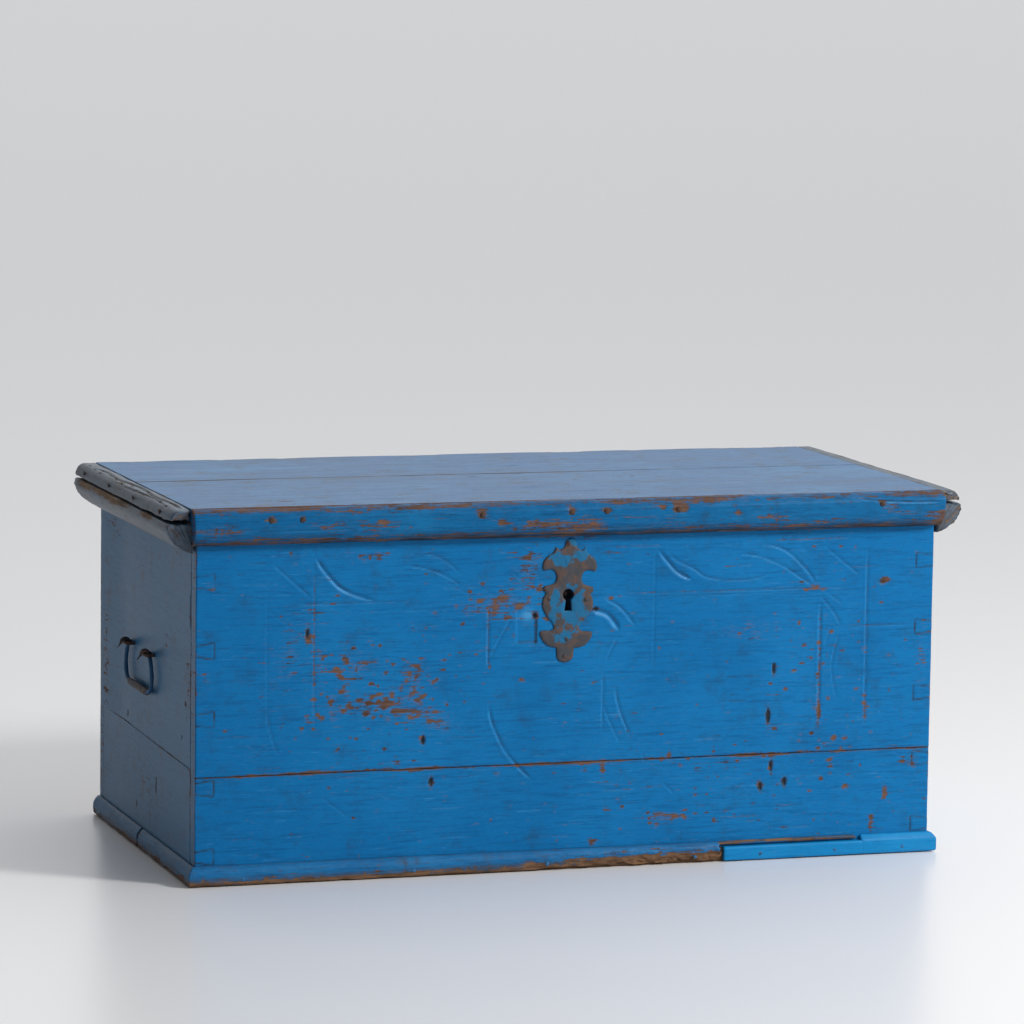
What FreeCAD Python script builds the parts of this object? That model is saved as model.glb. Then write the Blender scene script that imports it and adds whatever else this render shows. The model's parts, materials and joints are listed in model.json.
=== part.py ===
"""A flat-lidded pine blanket chest: dovetailed walls, foot moulding, boarded lid, lock and handles.

Axes: +X to the right seen from the front, +Y to the back, +Z up. The origin lies on the floor
under the middle of the whole chest. All lengths are in millimetres.
"""
import FreeCAD, Part
import Sketcher
import math
import os
from FreeCAD import Placement, Rotation, Vector

os.makedirs("parts", exist_ok=True)
doc = FreeCAD.newDocument("blanket_chest")
sheet = doc.addObject("Spreadsheet::Sheet", "sizes")


# ---------------------------------------------------------------- sizes kept in the sheet

class Size:
    """A length that carries its number and the sheet expression that gives it."""

    def __init__(self, value, text):
        self.value = float(value)
        self.text = text

    def __add__(self, other):
        other = as_size(other)
        return Size(self.value + other.value, f"({self.text} + {other.text})")

    def __radd__(self, other):
        return as_size(other) + self

    def __sub__(self, other):
        other = as_size(other)
        return Size(self.value - other.value, f"({self.text} - {other.text})")

    def __rsub__(self, other):
        return as_size(other) - self

    def __mul__(self, factor):
        factor = as_size(factor)
        return Size(self.value * factor.value, f"({self.text} * {factor.text})")

    def __rmul__(self, factor):
        return self * factor

    def __truediv__(self, divisor):
        divisor = as_size(divisor)
        return Size(self.value / divisor.value, f"({self.text} / {divisor.text})")

    def __neg__(self):
        return Size(-self.value, f"(0 - {self.text})")


def as_size(number):
    if isinstance(number, Size):
        return number
    return Size(number, f"({float(number)!r})")


def size(alias, value, meaning):
    """Write one driving dimension into the sheet and give it back as a Size."""
    row = size.row
    size.row += 1
    sheet.set(f"A{row}", meaning)
    sheet.set(f"B{row}", str(value))
    sheet.setAlias(f"B{row}", alias)
    return Size(value, f"sizes.{alias}")


size.row = 1

body_length = size("body_length", 1150, "outside length of the dovetailed box")
body_depth = size("body_depth", 600, "outside depth of the dovetailed box")
rim_height = size("rim_height", 533, "floor to the upper edge of the walls")
wall = size("wall", 28, "thickness of the wall boards")
bottom_thickness = size("bottom_thickness", 20, "thickness of the bottom boards")
bottom_front_width = size("bottom_front_width", 190, "width of the foremost bottom board")
bottom_back_width = size("bottom_back_width", 205, "width of the rearmost bottom board")
front_seam = size("front_seam", 160, "height of the seam between the two front boards")
side_seam_front = size("side_seam_front", 168, "height of the side seam at the front")
side_seam_back = size("side_seam_back", 178, "height of the side seam at the back")
first_pin = size("first_pin", 43, "height of the middle of the lowest dovetail pin")
pin_pitch = size("pin_pitch", 101, "distance between dovetail pins")
pin_wide = size("pin_wide", 24, "height of a pin at its root line")
pin_narrow = size("pin_narrow", 16, "height of a pin at the outer edge")

lid_thickness = size("lid_thickness", 22, "thickness of the lid boards")
lid_end_overhang = size("lid_end_overhang", 8, "lid boards beyond the box at each end")
lid_back_width = size("lid_back_width", 265, "width of the rear lid board")
lid_gap = size("lid_gap", 2.5, "play between the lid's rim pieces and the box")
moulding_height = size("moulding_height", 56, "height of the lid's front moulding")
moulding_projection = size("moulding_projection", 23, "how far that moulding stands out")
cap_width = size("cap_width", 34, "width of the rounded end caps of the lid")
cap_height = size("cap_height", 20.5, "height of the end caps")
cap_front_overhang = size("cap_front_overhang", 6, "end caps in front of the box")
cleat_projection = size("cleat_projection", 3, "end cleats beyond the end caps")
cleat_height = size("cleat_height", 46, "height of the end cleats at the box")
cleat_face = size("cleat_face", 14, "height of the cleats' outer face")

base_height = size("base_height", 31, "floor to the top of the foot moulding")
base_projection = size("base_projection", 11, "how far the foot moulding stands out")
base_lift = size("base_lift", 1.5, "foot moulding above the floor")
break_place = size("break_place", 240, "middle of the front to the break in the old moulding")
strip_end = size("strip_end", 460, "middle of the front to the end of the split strip")
strip_underside = size("strip_underside", 24.5, "floor to the underside of the split strip")
split_gap = size("split_gap", 2, "gap between broken moulding pieces")
side_break = size("side_break", 8, "middle of the box depth to the break in the left moulding")

keyhole_place = size("keyhole_place", -8, "middle of the front to the key centre")
key_height = size("key_height", 412, "floor to the key centre")
key_radius = size("key_radius", 8.4, "radius of the round of the keyhole")
slot_width = size("slot_width", 10, "width of the keyhole's slot")
slot_length = size("slot_length", 24, "key centre to the end of the slot")
escutcheon_thickness = size("escutcheon_thickness", 2, "thickness of the iron key plate")

iron = size("iron", 3, "thickness of straps, leaves and lock plates")
lock_plate_length = size("lock_plate_length", 144, "length of the lock plate")
lock_plate_height = size("lock_plate_height", 160, "height of the lock plate")
lock_plate_top = size("lock_plate_top", 6, "rim down to the top of the lock plate")
lock_case_depth = size("lock_case_depth", 26, "depth of the lock case")
lock_case_wall = size("lock_case_wall", 2, "thickness of the lock case")
lock_case_margin = size("lock_case_margin", 10, "plate edge to the lock case")
bolt_thickness = size("bolt_thickness", 6, "thickness of the lock bolt")
bolt_bar = size("bolt_bar", 16, "height of the bolt's lower bar")
bolt_finger = size("bolt_finger", 9, "height of the bolt's finger")
bolt_travel = size("bolt_travel", 14, "how far the key throws the bolt")
key_bit = size("key_bit", 24, "key centre to the tip of the key's bit")
running_gap = size("running_gap", 0.3, "play around sliding iron pieces")
hasp_length = size("hasp_length", 60, "length of the hasp below its plate")
hasp_width = size("hasp_width", 15, "width of the hasp, front to back")
hasp_thickness = size("hasp_thickness", 6, "thickness of the hasp")
hasp_offset = size("hasp_offset", 22, "key centre to the hasp, along the front")

hinge_place = size("hinge_place", 370, "middle of the chest to each hinge")
hinge_width = size("hinge_width", 42, "width of the hinges")
strap_length = size("strap_length", 260, "length of the hinge straps under the lid")
leaf_length = size("leaf_length", 150, "length of the hinge leaves down the back")
knuckle_radius = size("knuckle_radius", 6, "outer radius of the hinge knuckles")
pin_radius = size("pin_radius", 2.8, "radius of the hinge pins")
pin_play = size("pin_play", 0.05, "radial play of the hinge pins")
knuckle_gap = size("knuckle_gap", 0.5, "play between knuckles and the back of the box")

handle_height = size("handle_height", 304, "floor to the handle's turning axis")
handle_span = size("handle_span", 126, "distance between the two handle staples")
handle_back = size("handle_back", 18, "middle of a handle behind the middle of its side")
handle_drop = size("handle_drop", 58, "turning axis to the middle of the grip")
grip_length = size("grip_length", 116, "straight part of the grip")
grip_radius = size("grip_radius", 6, "radius of the grip")
rod_radius = size("rod_radius", 3.2, "radius of the handle's rod")
staple_radius = size("staple_radius", 2.6, "radius of the staple iron")
staple_width = size("staple_width", 22, "distance between a staple's prongs")
staple_reach = size("staple_reach", 13, "wall to the handle's turning axis")
hook_play = size("hook_play", 0.4, "play of the hooks on their staples")

nail_radius = size("nail_radius", 1.8, "radius of the nail shanks")
head_radius = size("head_radius", 4.5, "radius of the nail heads")
head_thickness = size("head_thickness", 1.5, "thickness of the nail heads")
head_proud = size("head_proud", 0.8, "nail heads above the wood")

doc.recompute()

# places worked out from the sizes
half_length = body_length / 2
left = -half_length
right = half_length
front_reach = lid_gap + moulding_projection + head_proud
back_reach = knuckle_gap + 2 * knuckle_radius
front = (front_reach - back_reach - body_depth) / 2
back = front + body_depth
front_inner = front + wall
back_inner = back - wall
middle_depth = front + body_depth / 2
handle_middle = middle_depth + handle_back
lid_top = rim_height + lid_thickness
lid_front = front - lid_gap
lid_left = left - lid_end_overhang
lid_right = right + lid_end_overhang
hinge_axis_y = back + knuckle_gap + knuckle_radius
hinge_axis_z = rim_height - knuckle_radius

ALONG = {
    "x": Rotation(Vector(0, 1, 0), 90),
    "-x": Rotation(Vector(0, 1, 0), -90),
    "y": Rotation(Vector(1, 0, 0), -90),
    "-y": Rotation(Vector(1, 0, 0), 90),
    "z": Rotation(),
    "-z": Rotation(Vector(1, 0, 0), 180),
}


# ---------------------------------------------------------------- helpers that make pieces

def bind(item, prop, value):
    """Tie one property to the sheet."""
    value = as_size(value)
    if "sizes." in value.text:
        item.setExpression(prop, value.text)
    else:
        setattr(item, prop, value.value)


def place(item, x, y, z, turn=None):
    """Put a piece where the sheet says, turned by a fixed rotation."""
    places = [as_size(place) for place in (x, y, z)]
    item.Placement = Placement(Vector(*[place.value for place in places]), turn or Rotation())
    for letter, value in zip("xyz", places):
        if "sizes." in value.text:
            item.setExpression(f"Placement.Base.{letter}", value.text)


def box(name, x, y, z):
    """A block between pairs of limits along each axis."""
    item = doc.addObject("Part::Box", name)
    bind(item, "Length", x[1] - x[0])
    bind(item, "Width", y[1] - y[0])
    bind(item, "Height", z[1] - z[0])
    place(item, x[0], y[0], z[0])
    return item


def rod(name, x, y, z, radius, length, along, angle=360):
    """A round bar from a point, in one of the six directions."""
    item = doc.addObject("Part::Cylinder", name)
    bind(item, "Radius", radius)
    bind(item, "Height", length)
    item.Angle = angle
    place(item, x, y, z, ALONG[along])
    return item


def ball(name, x, y, z, radius):
    item = doc.addObject("Part::Sphere", name)
    bind(item, "Radius", radius)
    place(item, x, y, z)
    return item


def fuse(name, pieces):
    item = doc.addObject("Part::MultiFuse", name)
    item.Shapes = pieces
    item.Refine = True
    return item


def group(name, pieces):
    """Separate solids that share one name."""
    item = doc.addObject("Part::Compound", name)
    item.Links = pieces
    return item


def cut(name, base, tools):
    """Take the tools' shapes out of the base."""
    item = doc.addObject("Part::Cut", name)
    item.Base = base
    item.Tool = tools[0] if len(tools) == 1 else fuse(name + "_cutter", tools)
    item.Refine = False
    return item


def part(name, shape):
    """Name a finished piece; the name becomes its file's name."""
    shape.Label = name
    part.finished.append(shape)
    return shape


part.finished = []


def origin_plane(body, role):
    return [plane for plane in body.Origin.OriginFeatures if plane.Role == role][0]


def draw_outline(sketch, outline):
    """Draw a closed outline of lines and arcs and tie every corner to the sheet.

    Each entry is (across, up) or (across, up, bulge): the edge that leaves a corner is an arc
    that stands out from its chord by the bulge, to the right of the way it runs.
    """
    corners = [(as_size(entry[0]), as_size(entry[1])) for entry in outline]
    bulges = [as_size(entry[2]) if len(entry) > 2 else None for entry in outline]
    count = len(corners)
    for index, bulge in enumerate(bulges):
        (x0, z0), (x1, z1) = corners[index], corners[(index + 1) % count]
        start = Vector(x0.value, z0.value, 0)
        end = Vector(x1.value, z1.value, 0)
        if bulge is None:
            sketch.addGeometry(Part.LineSegment(start, end), False)
            continue
        chord = end - start
        outward = Vector(chord.y, -chord.x, 0)
        outward.normalize()
        middle = (start + end) * 0.5 + outward * bulge.value
        sketch.addGeometry(Part.Arc(start, middle, end), False)
    ends = []
    for index, geometry in enumerate(sketch.Geometry):
        along = Vector(corners[index][0].value, corners[index][1].value, 0)
        starts_here = (sketch.getPoint(index, 1) - along).Length < 1e-6
        ends.append((1, 2) if starts_here else (2, 1))
    for index in range(count):
        following = (index + 1) % count
        sketch.addConstraint(Sketcher.Constraint(
            "Coincident", index, ends[index][1], following, ends[following][0]))
        for axis, kind, value in ((-2, "DistanceX", corners[index][0]),
                                  (-1, "DistanceY", corners[index][1])):
            if abs(value.value) < 1e-9:
                sketch.addConstraint(Sketcher.Constraint(
                    "PointOnObject", index, ends[index][0], axis))
                continue
            number = sketch.addConstraint(Sketcher.Constraint(
                kind, -1, 1, index, ends[index][0], value.value))
            if "sizes." in value.text:
                sketch.setExpression(f"Constraints[{number}]", value.text)
        bulge = bulges[index]
        if bulge is not None:
            (x0, z0), (x1, z1) = corners[index], corners[following]
            half_square = ((x1 - x0) * (x1 - x0) + (z1 - z0) * (z1 - z0)) / 4
            radius = (half_square + bulge * bulge) / (2 * bulge)
            number = sketch.addConstraint(Sketcher.Constraint("Radius", index, radius.value))
            if "sizes." in radius.text:
                sketch.setExpression(f"Constraints[{number}]", radius.text)


def moulded(name, outline, length, x, y, z, turn):
    """A body with an outline in its own XZ plane, carried along its own -Y for the length."""
    body = doc.addObject("PartDesign::Body", name)
    sketch = body.newObject("Sketcher::SketchObject", name + "_outline")
    sketch.AttachmentSupport = (origin_plane(body, "XZ_Plane"), [""])
    sketch.MapMode = "FlatFace"
    draw_outline(sketch, outline)
    pad = body.newObject("PartDesign::Pad", name + "_pad")
    pad.Profile = sketch
    pad.Type = 0
    bind(pad, "Length", length)
    sketch.Visibility = False
    place(body, x, y, z, Rotation(Vector(0, 0, 1), turn))
    return body


FACING_LEFT = 180
FACING_RIGHT = 0
FACING_FRONT = -90


# ---------------------------------------------------------------- nails

def nail(name, x, y, z, length, along):
    """A nail whose head's outer face stands at the point, driven in the given direction."""
    away = {"x": (1, 0, 0), "-x": (-1, 0, 0), "y": (0, 1, 0), "-y": (0, -1, 0),
            "z": (0, 0, 1), "-z": (0, 0, -1)}[along]
    head = rod(name + "_head", x, y, z, head_radius, head_thickness, along)
    under = [place + step * head_thickness for place, step in zip((x, y, z), away)]
    shank = rod(name + "_shank", *under, nail_radius, length, along)
    return fuse(name, [head, shank])


def nails(name, places, length, along):
    """Several nails of one length driven the same way."""
    return [nail(f"{name}_{number}", *place, length, along)
            for number, place in enumerate(places)]


# foot moulding nails: front row, then both ends
base_nail_height = base_lift + 9
base_nail_length = base_projection + 24
front_base_nails = nails("front_base_nail", [
    (place, front - base_projection - head_proud, base_nail_height)
    for place in (left + 70, left + 330, keyhole_place - 30, break_place - 45)
], base_nail_length, "y")
repair_nails = nails("repair_nail", [
    (place, front - base_projection - head_proud, base_nail_height)
    for place in (break_place + 60, strip_end - 40, right - 45)
], base_nail_length, "y")
left_front_base_nails = nails("left_front_base_nail", [
    (left - base_projection - head_proud, place, base_nail_height)
    for place in (front + 60, middle_depth + side_break - 50)
], base_nail_length, "x")
left_back_base_nails = nails("left_back_base_nail", [
    (left - base_projection - head_proud, place, base_nail_height)
    for place in (middle_depth + side_break + 50, back - 50)
], base_nail_length, "x")
right_base_nails = nails("right_base_nail", [
    (right + base_projection + head_proud, place, base_nail_height)
    for place in (front + 60, middle_depth, back - 50)
], base_nail_length, "-x")
base_nails = part("base_nails", group("base_nails", front_base_nails + repair_nails
                                      + left_front_base_nails + left_back_base_nails
                                      + right_base_nails))

# nails driven up through the bottom boards into the walls
bottom_nail_length = bottom_thickness + 26
front_bottom_nails = nails("front_bottom_nail", [
    (half_length * share, front + wall / 2, 0) for share in (-0.84, -0.3, 0.22, 0.68)
], bottom_nail_length, "z")
back_bottom_nails = nails("back_bottom_nail", [
    (half_length * share, back - wall / 2, 0) for share in (-0.8, -0.27, 0.27, 0.8)
], bottom_nail_length, "z")
left_bottom_nail = nails("left_bottom_nail",
                         [(left + wall / 2, middle_depth + 20, 0)], bottom_nail_length, "z")
right_bottom_nail = nails("right_bottom_nail",
                          [(right - wall / 2, middle_depth + 20, 0)], bottom_nail_length, "z")
bottom_nails = part("bottom_nails", group("bottom_nails", front_bottom_nails
                                          + back_bottom_nails + left_bottom_nail
                                          + right_bottom_nail))

# key plate nails
escutcheon_face = front - escutcheon_thickness
escutcheon_nails = nails("escutcheon_nail", [
    (keyhole_place + across, escutcheon_face - head_proud, key_height + up)
    for across, up in ((0, 74), (-31, -6), (29, -4), (0, -64), (0, -91))
], 14, "y")
part("escutcheon_nails", group("escutcheon_nails", escutcheon_nails))

# lock plate nails
lock_plate_left = keyhole_place - lock_plate_length / 2 - 4
lock_plate_right = lock_plate_left + lock_plate_length
lock_plate_upper = rim_height - lock_plate_top
lock_plate_lower = lock_plate_upper - lock_plate_height
lock_face = front_inner + iron
lock_nail_inset = 5
lock_nails = nails("lock_nail", [
    (across, lock_face + head_thickness, up)
    for across in (lock_plate_left + lock_nail_inset, lock_plate_right - lock_nail_inset)
    for up in (lock_plate_lower + lock_nail_inset, lock_plate_upper - lock_nail_inset)
], iron + 16, "-y")
part("lock_nails", group("lock_nails", lock_nails))

# hinge nails
hinge_nail_length = iron + 15
leaf_nails = nails("leaf_nail", [
    (side * hinge_place + across, back + iron + head_thickness, hinge_axis_z - down)
    for side in (-1, 1)
    for across, down in ((-9, 34), (9, 62), (-9, 92), (0, 128))
], iron + 18, "-y")
part("hinge_leaf_nails", group("hinge_leaf_nails", leaf_nails))
strap_nails = nails("strap_nail", [
    (side * hinge_place + across, back - inward, rim_height - iron - head_thickness)
    for side in (-1, 1)
    for across, inward in ((-8, 62), (8, 110), (-8, 165), (0, 225))
], hinge_nail_length, "z")
part("hinge_strap_nails", group("hinge_strap_nails", strap_nails))

# lid nails
moulding_face = lid_front - moulding_projection
lid_moulding_nails = nails("lid_moulding_nail", [
    (half_length * share, moulding_face - head_proud, lid_top - 17)
    for share in (-0.815, -0.735, -0.26, -0.02, 0.075, 0.27, 0.835)
], moulding_projection + 26, "y")
part("lid_moulding_nails", group("lid_moulding_nails", lid_moulding_nails))
cap_nail_places = (0.1, 0.37, 0.63, 0.9)
left_cap_nails = nails("left_cap_nail", [
    (lid_left - cap_width - head_proud, front + body_depth * share, lid_top - cap_height / 2)
    for share in cap_nail_places
], cap_width + 28, "x")
right_cap_nails = nails("right_cap_nail", [
    (lid_right + cap_width + head_proud, front + body_depth * share, lid_top - cap_height / 2)
    for share in cap_nail_places
], cap_width + 28, "-x")
cleat_nail_out = cap_width / 2
cleat_nail_low = rim_height - cleat_height + 16
left_cleat_nails = nails("left_cleat_nail", [
    (lid_left - cleat_nail_out, front + body_depth * share, cleat_nail_low)
    for share in (0.2, 0.5, 0.8)
], cleat_height - 6, "z")
right_cleat_nails = nails("right_cleat_nail", [
    (lid_right + cleat_nail_out, front + body_depth * share, cleat_nail_low)
    for share in (0.2, 0.5, 0.8)
], cleat_height - 6, "z")
part("lid_end_nails", group("lid_end_nails", left_cap_nails + right_cap_nails
                            + left_cleat_nails + right_cleat_nails))
hasp_x = keyhole_place + hasp_offset
hasp_plate_front = front_inner + 2
hasp_plate_length = 80
hasp_nails = nails("hasp_nail", [
    (hasp_x + across, hasp_plate_front + inward, rim_height - iron - head_thickness)
    for across, inward in ((-13, 12), (13, 12), (-13, 66), (13, 66))
], iron + 15, "z")
part("hasp_nails", group("hasp_nails", hasp_nails))


# ---------------------------------------------------------------- dovetailed walls

PIN_LEFT = Rotation(Vector(0, 0, 1), Vector(-1, 0, 0), Vector(0, -1, 0), "XYZ")
PIN_RIGHT = Rotation(Vector(0, 0, 1), Vector(1, 0, 0), Vector(0, 1, 0), "XYZ")
SLAB = Rotation(Vector(0, 0, 1), Vector(0, 1, 0), Vector(-1, 0, 0), "XYZ")
PINS_BELOW_SEAM = 2
PIN_COUNT = 5


def wedge(name, base_low, base_high, top_low, top_high, run, thickness):
    """A slab whose height changes along its run."""
    item = doc.addObject("Part::Wedge", name)
    for prop, value in (("Xmin", base_low), ("Xmax", base_high), ("X2min", top_low),
                        ("X2max", top_high), ("Ymin", 0), ("Ymax", run), ("Zmin", 0),
                        ("Zmax", thickness), ("Z2min", 0), ("Z2max", thickness)):
        bind(item, prop, value)
    return item


def pins(name, side, corner_y):
    """The row of dovetail pins of one side wall at one corner, lowest first."""
    row = []
    for number in range(PIN_COUNT):
        pin = wedge(f"{name}_{number}", 0, pin_wide, (pin_wide - pin_narrow) / 2,
                    (pin_wide + pin_narrow) / 2, wall, wall)
        low = first_pin + number * pin_pitch - pin_wide / 2
        if side == "left":
            place(pin, left + wall, corner_y + wall, low, PIN_LEFT)
        else:
            place(pin, right - wall, corner_y, low, PIN_RIGHT)
        row.append(pin)
    return row


pin_rows = {(side, end): pins(f"{side}_{end}_pin", side, corner_y)
            for side in ("left", "right")
            for end, corner_y in (("front", front), ("back", back_inner))}

# handle staples: a bar out from the wall between two prongs that are clenched inside
prong_length = staple_reach + wall


def staple(name, side_sign, middle_y):
    """A horizontal iron staple through a side wall, its prongs bent over inside."""
    face = left if side_sign < 0 else right
    axis_x = face + side_sign * staple_reach
    inward = "x" if side_sign < 0 else "-x"
    low = middle_y - staple_width / 2
    pieces = [rod(name + "_bar", axis_x, low, handle_height, staple_radius, staple_width, "y")]
    for number, prong_y in enumerate((low, low + staple_width)):
        pieces.append(ball(f"{name}_bend_{number}", axis_x, prong_y, handle_height,
                           staple_radius))
        pieces.append(rod(f"{name}_prong_{number}", axis_x, prong_y, handle_height,
                          staple_radius, prong_length + staple_radius, inward))
        inner = face - side_sign * (wall + staple_radius)
        pieces.append(ball(f"{name}_knee_{number}", inner, prong_y, handle_height,
                           staple_radius))
        pieces.append(rod(f"{name}_clench_{number}", inner, prong_y, handle_height,
                          staple_radius, 14, "-y" if number == 0 else "y"))
    return fuse(name, pieces)


staples = {}
for side, side_sign in (("left", -1), ("right", 1)):
    pair = [staple(f"{side}_staple_{end}", side_sign, handle_middle + sign * handle_span / 2)
            for end, sign in (("front", -1), ("back", 1))]
    staples[side] = part(f"{side}_handle_staples", group(f"{side}_handle_staples", pair))

# side walls: upper and lower board, the seam slanting towards the back
for side, inner_x in (("left", left + wall), ("right", right)):
    run = body_depth - 2 * wall
    for level in ("lower", "upper"):
        name = f"{side}_{level}_board"
        if level == "lower":
            core = wedge(name + "_core", 0, side_seam_front - bottom_thickness,
                         0, side_seam_back - bottom_thickness, run, wall)
            chosen = slice(0, PINS_BELOW_SEAM)
            driven = left_bottom_nail if side == "left" else right_bottom_nail
        else:
            core = wedge(name + "_core", side_seam_front - bottom_thickness,
                         rim_height - bottom_thickness, side_seam_back - bottom_thickness,
                         rim_height - bottom_thickness, run, wall)
            chosen = slice(PINS_BELOW_SEAM, PIN_COUNT)
            driven = [staples[side]]
        place(core, inner_x, front_inner, bottom_thickness, SLAB)
        joined = fuse(name + "_joined", [core] + pin_rows[(side, "front")][chosen]
                      + pin_rows[(side, "back")][chosen])
        part(name, cut(name, joined, driven))

# keyhole through key plate, front board and lock plate
keyhole_depth = escutcheon_thickness + wall + iron + 4
keyhole = fuse("keyhole", [
    rod("keyhole_round", keyhole_place, escutcheon_face - 2, key_height,
        key_radius, keyhole_depth, "y"),
    box("keyhole_slot", (keyhole_place - slot_width / 2, keyhole_place + slot_width / 2),
        (escutcheon_face - 2, escutcheon_face - 2 + keyhole_depth),
        (key_height - slot_length, key_height)),
])


def end_wall(name, y, z, chosen, corner, others):
    """A front or back board with sockets for the pins that it meets."""
    blank = box(name + "_blank", (left, right), y, z)
    sockets = pin_rows[("left", corner)][chosen] + pin_rows[("right", corner)][chosen]
    return part(name, cut(name, blank, sockets + others))


below = slice(0, PINS_BELOW_SEAM)
above = slice(PINS_BELOW_SEAM, PIN_COUNT)
front_wall = (front, front_inner)
back_wall = (back_inner, back)
end_wall("front_lower_board", front_wall, (bottom_thickness, front_seam), below, "front",
         front_bottom_nails)
end_wall("front_upper_board", front_wall, (front_seam, rim_height), above, "front",
         [keyhole] + escutcheon_nails + lock_nails)
end_wall("back_lower_board", back_wall, (bottom_thickness, front_seam), below, "back",
         back_bottom_nails)
strap_notches = [
    box(f"strap_notch_{number}",
        (side * hinge_place - hinge_width / 2 - 1, side * hinge_place + hinge_width / 2 + 1),
        (back_inner, back), (rim_height - iron - 0.5, rim_height))
    for number, side in enumerate((-1, 1))
]
end_wall("back_upper_board", back_wall, (front_seam, rim_height), above, "back",
         strap_notches + leaf_nails)

# bottom boards
bottom_level = (0, bottom_thickness)
board_seams = (front, front + bottom_front_width, back - bottom_back_width, back)
for number, name in enumerate(("front", "middle", "back")):
    blank = box(f"bottom_blank_{name}", (left, right),
                (board_seams[number], board_seams[number + 1]), bottom_level)
    part(f"bottom_board_{name}", cut(f"bottom_board_{name}", blank,
                                     [base_nails, bottom_nails]))


# ---------------------------------------------------------------- foot moulding

base_rise = base_height - base_lift
old_base_outline = [
    (0, 0), (base_projection, 0), (base_projection, base_rise * 0.45, 2.2),
    (2.5, base_rise), (0, base_rise),
]
repair_outline = [
    (0, 0), (base_projection, 0), (base_projection, base_rise * 0.72),
    (4, base_rise), (0, base_rise),
]
MITRE_REACH = 60


def mitre(name, corner_x, turn, keep_front):
    """A block that trims a moulding along the slanting line of an outer corner."""
    item = doc.addObject("Part::Box", name)
    item.Length = 2 * MITRE_REACH
    item.Width = MITRE_REACH
    item.Height = 3 * MITRE_REACH
    slope = math.radians(turn)
    shift_x = -MITRE_REACH * math.cos(slope)
    shift_y = -MITRE_REACH * math.sin(slope)
    if not keep_front:
        shift_x += MITRE_REACH * math.sin(slope)
        shift_y -= MITRE_REACH * math.cos(slope)
    place(item, corner_x + shift_x, front + shift_y, -MITRE_REACH,
          Rotation(Vector(0, 0, 1), turn))
    return item


old_front = moulded("front_base_blank", old_base_outline,
                    strip_end - left + base_projection, strip_end, front, base_lift,
                    FACING_FRONT)
lost_part = box("lost_part", (break_place, strip_end + 1),
                (front - base_projection - 1, front), (0, strip_underside))
part("front_base_moulding", cut("front_base_moulding", old_front, [
    lost_part, mitre("front_left_mitre", left, 45, True)] + front_base_nails))

repair_blank = moulded("front_repair_blank", repair_outline,
                       right + base_projection - break_place - split_gap,
                       right + base_projection, front, base_lift, FACING_FRONT)
under_strip = box("under_strip", (break_place, strip_end + split_gap),
                  (front - base_projection - 1, front),
                  (strip_underside - split_gap, base_height + 1))
part("front_base_repair", cut("front_base_repair", repair_blank, [
    under_strip, mitre("front_right_mitre", right, -45, True)] + repair_nails))

side_break_y = middle_depth + side_break
left_front_blank = moulded("left_base_front_blank", old_base_outline,
                           side_break_y - split_gap / 2 - front + base_projection,
                           left, front - base_projection, base_lift, FACING_LEFT)
part("left_base_front", cut("left_base_front", left_front_blank, [
    mitre("left_front_mitre", left, 45, False)] + left_front_base_nails))
left_back_blank = moulded("left_base_back_blank", old_base_outline,
                          back - side_break_y - split_gap / 2,
                          left, side_break_y + split_gap / 2, base_lift, FACING_LEFT)
part("left_base_back", cut("left_base_back", left_back_blank, left_back_base_nails))
right_blank = moulded("right_base_blank", old_base_outline, body_depth + base_projection,
                      right, back, base_lift, FACING_RIGHT)
part("right_base_moulding", cut("right_base_moulding", right_blank, [
    mitre("right_front_mitre", right, -45, False)] + right_base_nails))


# ---------------------------------------------------------------- lid

lid_level = (rim_height, lid_top)
lid_seam = back - lid_back_width
lid_front_blank = box("lid_front_blank", (lid_left, lid_right), (lid_front, lid_seam),
                      lid_level)
lid_back_blank = box("lid_back_blank", (lid_left, lid_right), (lid_seam, back), lid_level)
front_cap_nails = left_cap_nails[:2] + right_cap_nails[:2]
back_cap_nails = left_cap_nails[2:] + right_cap_nails[2:]
part("lid_front_board", cut("lid_front_board", lid_front_blank,
                            lid_moulding_nails + front_cap_nails + hasp_nails))
part("lid_back_board", cut("lid_back_board", lid_back_blank, back_cap_nails + strap_nails))

moulding_outline = [
    (0, 0), (6, 0, 4.5), (moulding_projection, moulding_height * 0.36),
    (moulding_projection, moulding_height * 0.77, 3.5), (2, moulding_height),
    (0, moulding_height),
]
moulding_blank = moulded("lid_moulding_blank", moulding_outline, lid_right - lid_left,
                         lid_right, lid_front, lid_top - moulding_height, FACING_FRONT)
part("lid_front_moulding", cut("lid_front_moulding", moulding_blank, lid_moulding_nails))

cap_round = 9
cap_outline = [
    (0, 0), (cap_width - cap_round, 0, 2.6), (cap_width, cap_height * 0.45),
    (cap_width, cap_height * 0.6, 2.4), (cap_width - cap_round, cap_height), (0, cap_height),
]
cleat_width = cap_width + cleat_projection + lid_end_overhang - lid_gap
cleat_outline = [
    (0, 0), (3, 0), (cleat_width, cleat_height - cleat_face), (cleat_width, cleat_height),
    (0, cleat_height),
]
cap_front = front - cap_front_overhang
left_cap_blank = moulded("left_cap_blank", cap_outline, back - cap_front, lid_left,
                         cap_front, lid_top - cap_height, FACING_LEFT)
right_cap_blank = moulded("right_cap_blank", cap_outline, back - cap_front, lid_right,
                          back, lid_top - cap_height, FACING_RIGHT)
part("left_end_cap", cut("left_end_cap", left_cap_blank,
                         left_cap_nails + left_cleat_nails))
part("right_end_cap", cut("right_end_cap", right_cap_blank,
                          right_cap_nails + right_cleat_nails))
left_cleat_blank = moulded("left_cleat_blank", cleat_outline, back - lid_front,
                           left - lid_gap, lid_front, rim_height - cleat_height,
                           FACING_LEFT)
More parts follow.
